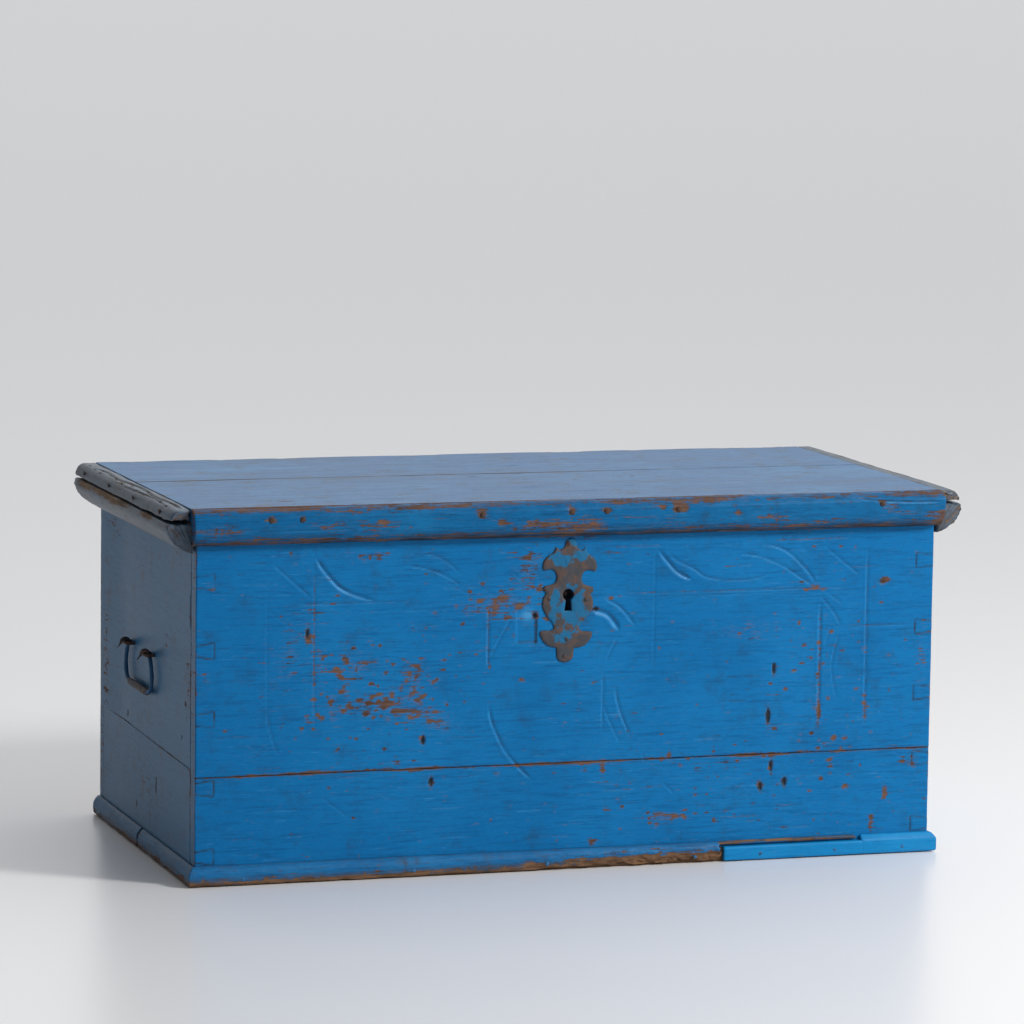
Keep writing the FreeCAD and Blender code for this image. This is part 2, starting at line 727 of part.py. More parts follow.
right_cleat_blank = moulded("right_cleat_blank", cleat_outline, back - lid_front,
                            right + lid_gap, back, rim_height - cleat_height, FACING_RIGHT)
part("left_end_cleat", cut("left_end_cleat", left_cleat_blank, left_cleat_nails))
part("right_end_cleat", cut("right_end_cleat", right_cleat_blank, right_cleat_nails))


# ---------------------------------------------------------------- key plate

plate_half = [(3, 85), (13, 75), (28, 61), (40, 44), (41, 35), (23, 33), (20, 26), (30, 18),
              (38, 8), (37, -14), (22, -42), (24, -50), (38, -57), (30, -71), (13, -76),
              (10, -88), (8, -97), (3, -101)]
plate_low = 104
plate_outline = [(across, up + plate_low) for across, up in reversed(plate_half)]
plate_outline += [(-across, up + plate_low) for across, up in plate_half]
key_plate_blank = moulded("key_plate_blank", plate_outline, escutcheon_thickness,
                          keyhole_place, front, key_height - plate_low, 0)
part("escutcheon", cut("escutcheon", key_plate_blank, [keyhole] + escutcheon_nails))


# ---------------------------------------------------------------- chest lock

lock_back = lock_face + lock_case_depth
lock_plate_blank = box("lock_plate_blank", (lock_plate_left, lock_plate_right),
                       (front_inner, lock_face), (lock_plate_lower, lock_plate_upper))
part("lock_plate", cut("lock_plate", lock_plate_blank, [keyhole] + lock_nails))

case_left = lock_plate_left + lock_case_margin
case_right = lock_plate_right - lock_case_margin
case_low = lock_plate_lower + lock_case_margin
case_top = lock_plate_upper - lock_case_margin
hasp_middle_y = lock_face + 5 + hasp_width / 2
hasp_slot_play = 2
case_blank = box("lock_case_blank", (case_left, case_right), (lock_face, lock_back),
                 (case_low, case_top))
case_hollow = box("lock_case_hollow",
                  (case_left + lock_case_wall, case_right - lock_case_wall),
                  (lock_face, lock_back - lock_case_wall),
                  (case_low + lock_case_wall, case_top - lock_case_wall))
hasp_slot = box("hasp_slot",
                (hasp_x - hasp_thickness / 2 - hasp_slot_play,
                 hasp_x + hasp_thickness / 2 + hasp_slot_play),
                (lock_face, hasp_middle_y + hasp_width / 2 + hasp_slot_play),
                (case_top - lock_case_wall - 1, case_top + 1))
part("lock_case", cut("lock_case", case_blank, [case_hollow, hasp_slot]))

# the hasp: a plate under the lid with an eye that hangs into the lock
hasp_top = rim_height - iron
hasp_low = hasp_top - hasp_length
eye_wall = 3.5
eye_low = hasp_low + 5
eye_high = eye_low + bolt_finger + 3
hasp_plate = box("hasp_plate", (hasp_x - 22, hasp_x + 22),
                 (hasp_plate_front, hasp_plate_front + hasp_plate_length),
                 (hasp_top, rim_height))
hasp_arm = box("hasp_arm", (hasp_x - hasp_thickness / 2, hasp_x + hasp_thickness / 2),
               (hasp_middle_y - hasp_width / 2, hasp_middle_y + hasp_width / 2),
               (hasp_low, hasp_top))
hasp_eye = box("hasp_eye", (hasp_x - hasp_thickness, hasp_x + hasp_thickness),
               (hasp_middle_y - hasp_width / 2 + eye_wall,
                hasp_middle_y + hasp_width / 2 - eye_wall), (eye_low, eye_high))
part("lid_hasp", cut("lid_hasp", fuse("hasp_joined", [hasp_plate, hasp_arm]),
                     [hasp_eye] + hasp_nails))

# the bolt: a lower bar that the key drives, a web, and a finger that enters the eye
bolt_y = (hasp_middle_y - bolt_thickness / 2, hasp_middle_y + bolt_thickness / 2)
bar_low = key_height + key_bit - 6
bar_high = bar_low + bolt_bar
finger_low = eye_low + 1.5
finger_high = finger_low + bolt_finger
bolt_left = case_left + lock_case_wall + 4
web_width = 10
bar_right = keyhole_place + 33
finger_tip = hasp_x - hasp_thickness / 2 - 2
bolt_joined = fuse("bolt_joined", [
    box("bolt_bar", (bolt_left, bar_right), bolt_y, (bar_low, bar_high)),
    box("bolt_web", (bolt_left, bolt_left + web_width), bolt_y, (bar_low, finger_high)),
    box("bolt_finger", (bolt_left, finger_tip), bolt_y, (finger_low, finger_high)),
])
talon = box("talon", (keyhole_place - 6, keyhole_place + 6),
            (bolt_y[0] - 1, bolt_y[1] + 1), (bar_low - 1, bar_low + 6))
part("lock_bolt", cut("lock_bolt", bolt_joined, [talon]))

# guides: two bridges on the lock plate that the lower bar slides through
guide_wall = 4
guide_width = 8
guide_window = [(bolt_y[0] - running_gap, bolt_y[1] + running_gap),
                (bar_low - running_gap, bar_high + running_gap)]
guides = []
for name, guide_x in (("left_guide", keyhole_place - 30), ("right_guide", keyhole_place + 22)):
    block = box(name + "_block", (guide_x, guide_x + guide_width),
                (lock_face, guide_window[0][1] + guide_wall),
                (guide_window[1][0] - guide_wall, guide_window[1][1] + guide_wall))
    window = box(name + "_window", (guide_x - 1, guide_x + guide_width + 1), *guide_window)
    guides.append(cut(name, block, [window]))
part("bolt_guides", group("bolt_guides", guides))

# spring: a strip on the right guide that bears down on the bar
guide_top = guide_window[1][1] + guide_wall
spring_low = bar_high + running_gap
spring_left = keyhole_place - 14
spring_bend = keyhole_place + 20
spring_right = keyhole_place + 22 + guide_width
spring_thickness = 1.2
spring_rise = guide_top - spring_low
spring_outline = [
    (0, 0), (spring_bend - spring_left, spring_rise), (spring_right - spring_left, spring_rise),
    (spring_right - spring_left, spring_rise + spring_thickness),
    (spring_bend - spring_left, spring_rise + spring_thickness), (0, spring_thickness),
]
part("bolt_spring", moulded("bolt_spring", spring_outline, 5, spring_left,
                            hasp_middle_y + 2.5, spring_low, 0))

# key post and ward
part("key_post", rod("key_post", keyhole_place, lock_back - lock_case_wall, key_height,
                     3, wall + iron + lock_case_depth - lock_case_wall - 14, "-y"))
ward_radius = key_bit - 9
ward_depth = 7
ward_ring = rod("ward_ring", keyhole_place, lock_face + ward_depth, key_height, ward_radius,
                ward_depth, "-y", 180)
ward_bore = rod("ward_bore", keyhole_place, lock_face + ward_depth + 1, key_height,
                ward_radius - 1.5, ward_depth + 2, "-y")
part("lock_ward", cut("lock_ward", ward_ring, [ward_bore]))


# ---------------------------------------------------------------- hinges

third = hinge_width / 3
end_play = 0.2
strap_z = (rim_height - iron, rim_height)
hinge_pins = []
for side_name, side in (("left", -1), ("right", 1)):
    middle = side * hinge_place
    low_x = middle - hinge_width / 2
    bore_start = low_x - 1
    bore = rod(f"{side_name}_pin_bore", bore_start, hinge_axis_y, hinge_axis_z,
               pin_radius + pin_play, hinge_width + 2, "x")

    strap_plate = box(f"{side_name}_strap_plate", (low_x, low_x + hinge_width),
                      (back - strap_length, back), strap_z)
    strap_tongue = box(f"{side_name}_strap_tongue",
                       (low_x + third + end_play, low_x + 2 * third - end_play),
                       (back - 1, hinge_axis_y), strap_z)
    strap_knuckle = rod(f"{side_name}_strap_knuckle", low_x + third + end_play, hinge_axis_y,
                        hinge_axis_z, knuckle_radius, third - 2 * end_play, "x")
    strap = fuse(f"{side_name}_strap_joined", [strap_plate, strap_tongue, strap_knuckle])
    own_nails = strap_nails[:4] if side < 0 else strap_nails[4:]
    part(f"hinge_strap_{side_name}", cut(f"hinge_strap_{side_name}", strap,
                                         [bore] + own_nails))

    leaf_plate = box(f"{side_name}_leaf_plate", (low_x, low_x + hinge_width),
                     (back, back + iron), (hinge_axis_z - leaf_length, hinge_axis_z))
    knuckles = [rod(f"{side_name}_leaf_knuckle_{number}", start, hinge_axis_y, hinge_axis_z,
                    knuckle_radius, third - end_play, "x")
                for number, start in enumerate((low_x, low_x + 2 * third + end_play))]
    leaf = fuse(f"{side_name}_leaf_joined", [leaf_plate] + knuckles)
    relief = box(f"{side_name}_leaf_relief", (low_x + third - end_play,
                                              low_x + 2 * third + end_play),
                 (back - 1, back + iron + 1),
                 (hinge_axis_z - knuckle_radius - knuckle_gap, hinge_axis_z + 1))
    own_nails = leaf_nails[:4] if side < 0 else leaf_nails[4:]
    part(f"hinge_back_leaf_{side_name}", cut(f"hinge_back_leaf_{side_name}", leaf,
                                             [bore, relief] + own_nails))

    hinge_pins.append(rod(f"{side_name}_hinge_pin", low_x - 1, hinge_axis_y, hinge_axis_z,
                          pin_radius, hinge_width + 2, "x"))
part("hinge_pins", group("hinge_pins", hinge_pins))


# ---------------------------------------------------------------- drop handles

hook_radius = staple_radius + hook_play + rod_radius
corner_radius = 24
corner_turn = 92
tip_length = 11


def bail_wire(leg_x):
    """One wire of tangent arcs and a straight grip, worked out from the sheet's sizes."""
    level = (handle_height - handle_drop).value
    half_grip = grip_length.value / 2
    centre_y = handle_middle.value
    turn = math.radians(corner_turn)
    corner_out = corner_radius * math.sin(turn)
    corner_up = corner_radius * (1 - math.cos(turn))
    half_turn = turn / 2
    mid_out = corner_radius * math.sin(half_turn)
    mid_up = corner_radius * (1 - math.cos(half_turn))
    leg_foot = Vector(0, half_grip + corner_out, corner_up)
    leg_head = Vector(0, handle_span.value / 2, handle_drop.value)
    chord = leg_head - leg_foot
    lean = math.radians(90 - corner_turn)
    half_swing = lean - math.atan2(chord.y, chord.z)
    bulge = chord.Length / 2 * math.tan(half_swing / 2)
    sideways = Vector(0, chord.z, -chord.y)
    sideways.normalize()
    leg_middle = (leg_foot + leg_head) * 0.5 + sideways * bulge
    edges = []
    for sign in (-1, 1):
        def at(point):
            return Vector(leg_x.value, centre_y + sign * point.y, level + point.z)
        corner = Part.Arc(at(Vector(0, half_grip, 0)),
                          at(Vector(0, half_grip + mid_out, mid_up)), at(leg_foot))
        leg = Part.Arc(at(leg_foot), at(leg_middle), at(leg_head))
        edges.append([corner.toShape(), leg.toShape()])
    ends = [Vector(leg_x.value, centre_y - half_grip, level),
            Vector(leg_x.value, centre_y + half_grip, level)]
    grip = Part.LineSegment(*ends).toShape()
    return [edges[0][1], edges[0][0], grip, edges[1][0], edges[1][1]]


def bail(side_name, side_sign):
    """A drop handle: swept rod, thick grip, and a hook with a pointed tip round each staple."""
    face = left if side_sign < 0 else right
    axis_x = face + side_sign * staple_reach
    leg_x = axis_x - side_sign * hook_radius
    level = handle_height - handle_drop
    wire = Part.Wire(Part.__sortEdges__(bail_wire(leg_x)))
    start = wire.OrderedVertexes[0].Point
    tangent = wire.OrderedEdges[0].tangentAt(wire.OrderedEdges[0].FirstParameter)
    section = Part.Wire(Part.Circle(start, tangent, rod_radius.value).toShape())
    swept = doc.addObject("Part::Feature", f"{side_name}_bail_rod")
    swept.Shape = wire.makePipeShell([section], True, False)
    grip = rod(f"{side_name}_grip", leg_x, handle_middle - grip_length / 2, level,
               grip_radius, grip_length, "y")
    pieces = [swept, grip]
    for end, sign in (("front", -1), ("back", 1)):
        hook_y = handle_middle + sign * handle_span / 2
        pieces.append(ball(f"{side_name}_{end}_knee", leg_x, hook_y, handle_height,
                           rod_radius))
        hook = doc.addObject("Part::Torus", f"{side_name}_{end}_hook")
        bind(hook, "Radius1", hook_radius)
        bind(hook, "Radius2", rod_radius)
        hook.Angle3 = 180
        turn = Rotation(Vector(1, 0, 0), 90)
        place(hook, axis_x, hook_y, handle_height, turn)
        pieces.append(hook)
        outer_x = axis_x + side_sign * hook_radius
        pieces.append(ball(f"{side_name}_{end}_bend", outer_x, hook_y, handle_height,
                           rod_radius))
        tip = doc.addObject("Part::Cone", f"{side_name}_{end}_tip")
        bind(tip, "Radius1", rod_radius)
        tip.Radius2 = 0.8
        tip.Height = tip_length
        place(tip, outer_x, hook_y, handle_height,
              Rotation(Vector(0, 0, 1), Vector(side_sign * 0.7, 0, -0.7)))
        pieces.append(tip)
    return part(f"{side_name}_handle_bail", fuse(f"{side_name}_handle_bail", pieces))


bail("left", -1)
bail("right", 1)


# ---------------------------------------------------------------- checks and files

doc.recompute()
failed = [item.Name for item in doc.Objects
          if "Invalid" in item.State or "Error" in item.State]
if failed:
    raise SystemExit(f"these objects failed: {failed}")
for shape in part.finished:
    if shape.Shape.isNull() or not shape.Shape.isValid() or not shape.Shape.Solids:
        raise SystemExit(f"{shape.Label} has no valid solid")
for shape in part.finished:
    shape.Shape.exportStep(f"parts/{shape.Label}.step")
    print(f"{shape.Label}: {len(shape.Shape.Solids)} solids, {shape.Shape.Volume:.0f} mm3")
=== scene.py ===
import json
import math
import bpy
import numpy as np
from mathutils import Matrix, Vector
from mathutils.geometry import delaunay_2d_cdt


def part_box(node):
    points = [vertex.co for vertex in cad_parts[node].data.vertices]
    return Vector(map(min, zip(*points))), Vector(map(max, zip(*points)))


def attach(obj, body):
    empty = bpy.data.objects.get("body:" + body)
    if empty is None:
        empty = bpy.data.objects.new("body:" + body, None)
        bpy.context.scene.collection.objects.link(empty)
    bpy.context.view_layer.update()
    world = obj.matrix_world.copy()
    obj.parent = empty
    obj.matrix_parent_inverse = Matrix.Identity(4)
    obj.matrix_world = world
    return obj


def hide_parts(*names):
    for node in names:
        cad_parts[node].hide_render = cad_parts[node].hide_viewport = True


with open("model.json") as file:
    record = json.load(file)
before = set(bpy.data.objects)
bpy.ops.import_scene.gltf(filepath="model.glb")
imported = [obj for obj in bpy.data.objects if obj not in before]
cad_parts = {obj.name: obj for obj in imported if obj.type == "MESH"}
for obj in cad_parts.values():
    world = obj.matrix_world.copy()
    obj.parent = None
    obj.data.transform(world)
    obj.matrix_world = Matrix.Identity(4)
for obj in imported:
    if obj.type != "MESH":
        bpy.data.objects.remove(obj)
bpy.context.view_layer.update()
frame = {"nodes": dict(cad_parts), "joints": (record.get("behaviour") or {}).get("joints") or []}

# A blue-painted pine chest. Lengths below are millimetres and become metres in the mesh.
MM = 0.001
X = np.array([1.0, 0.0, 0.0])
Y = np.array([0.0, 1.0, 0.0])
Z = np.array([0.0, 0.0, 1.0])


def reach(node):
    """Lowest and highest corner of a CAD node in millimetres."""
    low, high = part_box(node)
    return np.array(low) / MM, np.array(high) / MM


def joint_place(name):
    """The point that a hinge turns about, in millimetres."""
    joint = [joint for joint in frame["joints"] if joint["name"] == name][0]
    return np.array(joint["pos_m"]) / MM


front_low, front_high = reach("front_upper_board")
back_low, back_high = reach("back_upper_board")
left, front, seam = front_low
right, front_inner, rim = front_high
back_inner, back = back_low[1], back_high[1]
length = right - left
depth = back - front
wall = front_inner - front
floor_level = reach("front_lower_board")[0][2]
lid_top = reach("lid_front_board")[1][2]
key_x, key_z = -8.0, 412.0
key_drop = 24.0


# ------------------------------------------------------------------ numbers and noise

def value_noise(x, y, seed):
    """Random heights on a square lattice, blended between by s*s*(3-2s); runs from -1 to 1."""
    heights = np.random.default_rng(abs(seed)).random((128, 128)) * 2 - 1
    cell_x, cell_y = np.floor(x).astype(int), np.floor(y).astype(int)
    s, t = x - cell_x, y - cell_y
    s, t = s * s * (3 - 2 * s), t * t * (3 - 2 * t)
    x0, x1, y0, y1 = cell_x & 127, (cell_x + 1) & 127, cell_y & 127, (cell_y + 1) & 127
    low = heights[x0, y0] * (1 - s) + heights[x1, y0] * s
    high = heights[x0, y1] * (1 - s) + heights[x1, y1] * s
    return low * (1 - t) + high * t


def rough(x, y, seed, octaves=4):
    """Value noises added up, each twice as fine and half as strong as the one before."""
    x, y = np.broadcast_arrays(np.asarray(x, float), np.asarray(y, float))
    total = np.zeros(x.shape)
    for octave in range(octaves):
        total += value_noise(x * 2 ** octave + 7.3 * octave, y * 2 ** octave, seed + octave) \
            / 2 ** octave
    return total / 1.6


def bump(distance, width):
    """A smooth hill: exp(-(distance/width)^2)."""
    return np.exp(-(distance / width) ** 2)


def rise(value, low, high):
    """0 below low, 1 above high, smooth between."""
    s = np.clip((value - low) / (high - low), 0, 1)
    return s * s * (3 - 2 * s)


def smooth_line(points, count=12):
    """Catmull-Rom curve through the points, each stretch divided evenly."""
    points = np.asarray(points, float)
    if len(points) == 2:
        return np.linspace(points[0], points[1], count + 1)
    padded = np.vstack([2 * points[0] - points[1], points, 2 * points[-1] - points[-2]])
    t = np.linspace(0, 1, count, endpoint=False)[:, None]
    runs = []
    for p0, p1, p2, p3 in zip(padded, padded[1:], padded[2:], padded[3:]):
        runs.append(0.5 * (2 * p1 + (p2 - p0) * t + (2 * p0 - 5 * p1 + 4 * p2 - p3) * t ** 2
                           + (3 * p1 - p0 - 3 * p2 + p3) * t ** 3))
    return np.vstack(runs + [points[-1:]])


def beside(a, b, line):
    """Distance from each place to a line, signed by side, and how far along it (0 to 1)."""
    start, step = line[:-1], np.diff(line, axis=0)
    square = (step ** 2).sum(1) + 1e-9
    da, db = a[:, None] - start[:, 0], b[:, None] - start[:, 1]
    share = np.clip((da * step[:, 0] + db * step[:, 1]) / square, 0, 1)
    off_a, off_b = da - share * step[:, 0], db - share * step[:, 1]
    distance = np.hypot(off_a, off_b)
    nearest = distance.argmin(1)
    row = np.arange(len(a))
    side = np.sign(off_b[row, nearest] * step[nearest, 0] - off_a[row, nearest] * step[nearest, 1])
    along = (nearest + share[row, nearest]) / len(step)
    return distance[row, nearest] * side, along


class Surface:
    """Height, wear and grime of a face, gathered mark by mark on a grid of places a, b; the grime
    holds dirt and painted shade, and below nought a painted highlight.
    """

    def __init__(self, a, b):
        self.a, self.b = a, b
        self.height = np.zeros(a.shape)
        self.wear = np.zeros(a.shape)
        self.grime_and_shading = np.zeros(a.shape)

    def near(self, low_a, high_a, low_b, high_b):
        return (self.a > low_a) & (self.a < high_a) & (self.b > low_b) & (self.b < high_b)

    def stroke(self, points, width=4, deep=1.2, wear=0.0, grime_and_shading=0.5, lip=0.35):
        """A gouged line: a smooth hollow with a raised lip on one side, thin at both ends."""
        line = smooth_line(points)
        margin = 4 * width
        spot = self.near(line[:, 0].min() - margin, line[:, 0].max() + margin,
                         line[:, 1].min() - margin, line[:, 1].max() + margin)
        if not spot.any():
            return
        signed, along = beside(self.a[spot], self.b[spot], line)
        run = line[-1] - line[0]
        # flip the side so the painted highlight falls on the lower-left wall and the painted shade
        # on the upper-right wall, whichever way the line runs
        signed = signed if run[0] > run[1] else -signed
        taper = np.clip(np.sin(np.pi * np.clip(along, 0.02, 0.98)) * 2.2, 0.15, 1)
        half = width / 2 * taper
        hollow = bump(signed, half)
        self.height[spot] += taper * deep * (lip * bump(signed + 1.9 * half, half) - hollow)
        self.wear[spot] += wear * hollow * taper
        # pale sets the strength of the painted highlight on the lit wall, stronger for deeper
        # gouges; the dark term is dirt and painted shade on the upper-right wall (the two swap
        # where grime is below nought)
        pale = 0.25 + 0.38 * min(deep, 2.2)
        broken = np.clip(0.75 + 0.9 * rough(self.a[spot] / 14, self.b[spot] / 14, 17, 3), 0.1, 1.3)
        self.grime_and_shading[spot] += grime_and_shading * taper * broken * (
            1.2 * bump(signed - 0.5 * half, 0.55 * half)
            - pale * bump(signed + 0.75 * half, 0.5 * half))

    def slit(self, a, b, wide=2.2, tall=9, deep=3.0, lean=0.0, rim_wear=0.3):
        """An upright nail slit with a worn rim, painted dark inside as shade and dirt."""
        spot = self.near(a - 25, a + 25, b - 25, b + 25)
        da = self.a[spot] - a - lean * (self.b[spot] - b)
        db = self.b[spot] - b
        reach_out = np.hypot(da / wide, db / tall)
        self.height[spot] -= deep * rise(-reach_out, -1.25, -0.6)
        self.grime_and_shading[spot] += 1.6 * rise(-reach_out, -1.4, -0.8)
        self.wear[spot] += rim_wear * bump(reach_out - 1.5, 0.6)

    def patch(self, a, b, wide, tall, wear=0.3, seed=0, deep=0.0, grime_and_shading=0.0):
        """A cloudy worn patch, broken up by noise."""
        spot = self.near(a - 2.2 * wide, a + 2.2 * wide, b - 2.2 * tall, b + 2.2 * tall)
        at_a, at_b = self.a[spot], self.b[spot]
        strength = np.exp(-((at_a - a) / wide) ** 2 - ((at_b - b) / tall) ** 2)
        strength *= np.clip(1 + 0.8 * rough(at_a / 12, at_b / 7, seed, 3), 0, 2)
        self.wear[spot] += wear * strength
        self.height[spot] -= deep * strength
        self.grime_and_shading[spot] += grime_and_shading * strength


# ------------------------------------------------------------------ meshes

def add_piece(name, points, faces, body, finishes, nodes=(), marks=None, flat=0, inner=0,
              edge=0):
    """Makes one mesh from arrays of faces (each array holds faces of one corner count), turns
    it right side out by the sign of its volume, and ties it to the frame. The last arrays may
    be flat shaded (flat of them), take the second finish (inner of them) or, before those, the
    third (edge of them)."""
    volume = 0.0
    for corners in faces:
        at = points[corners]
        volume += (np.cross(at[:, 1:-1], at[:, 2:]) * at[:, :1]).sum()
    if volume < 0:
        faces = [corners[:, ::-1] for corners in faces]
    counts = np.concatenate([np.full(len(corners), corners.shape[1]) for corners in faces])
    loops = np.concatenate([corners.ravel() for corners in faces])
    mesh = bpy.data.meshes.new(name)
    mesh.vertices.add(len(points))
    mesh.vertices.foreach_set("co", (points * MM).astype(np.float32).ravel())
    mesh.loops.add(len(loops))
    mesh.loops.foreach_set("vertex_index", loops.astype(np.int32))
    mesh.polygons.add(len(counts))
    starts = np.concatenate([[0], np.cumsum(counts)[:-1]])
    mesh.polygons.foreach_set("loop_start", starts.astype(np.int32))
    smooth, finish_index = np.ones(len(counts), bool), np.zeros(len(counts), np.int32)
    if flat:
        smooth[-sum(len(corners) for corners in faces[-flat:]):] = False
    if edge and len(finishes) > 2:
        finish_index[-sum(len(corners) for corners in faces[-edge:]):] = 2
    if inner and len(finishes) > 1:
        finish_index[-sum(len(corners) for corners in faces[-inner:]):] = 1
    mesh.polygons.foreach_set("use_smooth", smooth)
    mesh.polygons.foreach_set("material_index", finish_index)
    mesh.update(calc_edges=True)
    for label, values in (marks or {}).items():
        layer = mesh.attributes.new(label, "FLOAT", "POINT")
        layer.data.foreach_set("value", np.asarray(values, np.float32))
    for finish in finishes:
        mesh.materials.append(finish)
    piece = bpy.data.objects.new(name, mesh)
    bpy.context.scene.collection.objects.link(piece)
    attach(piece, body)
    if nodes:
        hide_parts(*nodes)
    return piece


def lattice(span, step, arris=3.0):
    """Even lines over a span, with closer lines by both ends to round the arrises."""
    count = max(2, int(round((span - 2 * arris) / step)) + 1)
    close = arris * np.array([0.0, 0.1, 0.28, 0.55])
    return np.concatenate([close, np.linspace(arris, span - arris, count), span - close[::-1]])


def grid_quads(rows, columns, offset=0):
    """Faces of a grid whose point (i, j) has number offset + i*columns + j."""
    i, j = np.meshgrid(np.arange(rows - 1), np.arange(columns - 1), indexing="ij")
    first = offset + (i * columns + j).ravel()
    return np.stack([first, first + columns, first + columns + 1, first + 1], axis=1)


def board(name, origin, across, up, span, low, high, thick, step, relief, body,
          finishes, nodes, arris=1.6, inset=0.5, seed=1, end_relief=None, rings=4,
          offset=(0, 0)):
    """A worn board. Its outer face is a grid of places a (across) and b (up, between the edges
    low(a) and high(a)), raised by relief and rolled over at the arrises by a quarter circle;
    rings carry the outline back through the thickness to one flat inner face."""
    outward = np.cross(across, up)
    a_lines = lattice(span, step)
    middle = np.array([span / 2])
    tall = float((high(middle) - low(middle))[0])
    t_lines = lattice(tall, step) / tall
    a, t = np.meshgrid(a_lines, t_lines, indexing="ij")
    low_b, high_b = low(a), high(a)
    b = low_b + t * (high_b - low_b)
    marks = Surface(a + offset[0], b + offset[1])
    relief(marks)
    from_low, from_high = b - low_b, high_b - b
    nearest_a, nearest_b = np.minimum(a, span - a), np.minimum(from_low, from_high)
    nearest = np.minimum(nearest_a, nearest_b)
    radius = arris * (1.1 + 0.6 * rough(a / 38, b / 38, seed + 40, 3))
    radius = np.clip(radius, 0.35 * arris, 2.4 * arris)
    over_a, over_b = np.clip(radius - nearest_a, 0, None), np.clip(radius - nearest_b, 0, None)
    drop = radius - np.sqrt(np.clip(radius ** 2 - over_a ** 2 - over_b ** 2, 0, None))
    marks.wear += 0.42 * np.exp(-nearest / 2.2) * (0.75 + rough(a / 60, b / 60, seed + 9, 3))
    shift_a = (np.exp(-a / 5) * (0.5 + 0.5 * rough(b / 26, b * 0, seed + 3))
               - np.exp(-(span - a) / 5) * (0.5 + 0.5 * rough(b / 26, b * 0 + 9, seed + 4)))
    shift_b = (np.exp(-from_low / 5) * (0.5 + 0.5 * rough(a / 31, a * 0, seed + 5))
               - np.exp(-from_high / 5) * (0.5 + 0.5 * rough(a / 31, a * 0 + 9, seed + 6)))
    flat_a, flat_b = a + inset * shift_a, b + inset * shift_b
    height = marks.height - drop
    points = [(origin + flat_a[..., None] * across + flat_b[..., None] * up
               + height[..., None] * outward).reshape(-1, 3)]
    rows, columns = a.shape
    number = np.arange(rows * columns).reshape(rows, columns)
    border = np.concatenate([number[:, 0], number[-1, 1:], number[-2::-1, -1],
                             number[0, -2:0:-1]])
    edge_a, edge_b = flat_a.ravel()[border], flat_b.ravel()[border]
    edge_height = height.ravel()[border]
    edge_wear, edge_grime_and_shading = marks.wear.ravel()[border], marks.grime_and_shading.ravel()[border]
    wears, grimes_and_shading = [marks.wear.ravel()], [marks.grime_and_shading.ravel()]
    faces = [grid_quads(rows, columns)]
    previous, count = border, rows * columns
    levels = list(np.linspace(0.12, 0.93, rings)) + [1.0]
    following = np.roll(np.arange(len(border)), -1)
    for level in levels:
        ring_height = edge_height + (-thick - edge_height) * level
        ring_a, ring_b = edge_a.copy(), edge_b.copy()
        if level == 1.0:
            close = 1.2
            low_ring, high_ring = low(ring_a) + close, high(ring_a) - close
            ring_a = np.clip(ring_a, close, span - close)
            ring_b = np.clip(ring_b, low_ring, high_ring)
        elif end_relief is not None:
            dent = end_relief(edge_b, -ring_height)
            ring_a += np.where(edge_a < 1.5, dent, 0) - np.where(edge_a > span - 1.5, dent, 0)
        points.append(origin + ring_a[:, None] * across + ring_b[:, None] * up
                      + ring_height[:, None] * outward)
        ring = count + np.arange(len(border))
        faces.append(np.stack([previous, ring, ring[following], previous[following]], axis=1))
        worn = 0.2 + 0.25 * rough(edge_b / 14, -ring_height / 6 + edge_a / 50, seed + 77, 3)
        wears.append(np.maximum(edge_wear * math.exp(-level * 9), worn))
        grimes_and_shading.append(edge_grime_and_shading * math.exp(-level * 6))
        previous = ring
        count += len(border)
    faces.append(previous[::-1][None, :])
    return add_piece(name, np.vstack(points), faces, body, finishes, nodes,
                     {"wear": np.concatenate(wears), "grime_and_shading": np.concatenate(grimes_and_shading)},
                     flat=1, inner=2, edge=rings + 2)


def ring_faces(rows, columns):
    """Faces of a grid whose columns close into rings, with one face at each end."""
    number = np.arange(rows * columns).reshape(rows, columns)
    wrapped = np.concatenate([number, number[:, :1]], axis=1)
    quads = np.stack([wrapped[:-1, :-1], wrapped[1:, :-1], wrapped[1:, 1:],
                      wrapped[:-1, 1:]], axis=-1).reshape(-1, 4)
    return [quads, number[:1, ::-1], number[-1:]]


def outline_of(points, spacing=1.6, softening=2):
    """A closed outline divided evenly, its corners rounded by averaging neighbours."""
    points = np.asarray(points, float)
    closed = np.vstack([points, points[:1]])
    step = np.hypot(*np.diff(closed, axis=0).T)
    total = step.sum()
    count = max(12, int(total / spacing))
    place = np.linspace(0, total, count, endpoint=False)
    walked = np.concatenate([[0], np.cumsum(step)])
    line = np.stack([np.interp(place, walked, closed[:, k]) for k in (0, 1)], axis=1)
    for _ in range(softening):
        line = 0.5 * line + 0.25 * (np.roll(line, 1, axis=0) + np.roll(line, -1, axis=0))
    return line


def arc(start, end, out, count=7):
    """Points on a circular arc from start to end that stands out from its chord by out."""
    start, end = np.asarray(start, float), np.asarray(end, float)
    t = np.linspace(0, 1, count)[:, None]
    chord = end - start
    side = np.array([chord[1], -chord[0]]) / np.hypot(*chord)
    return start + chord * t + side * out * 4 * t * (1 - t)


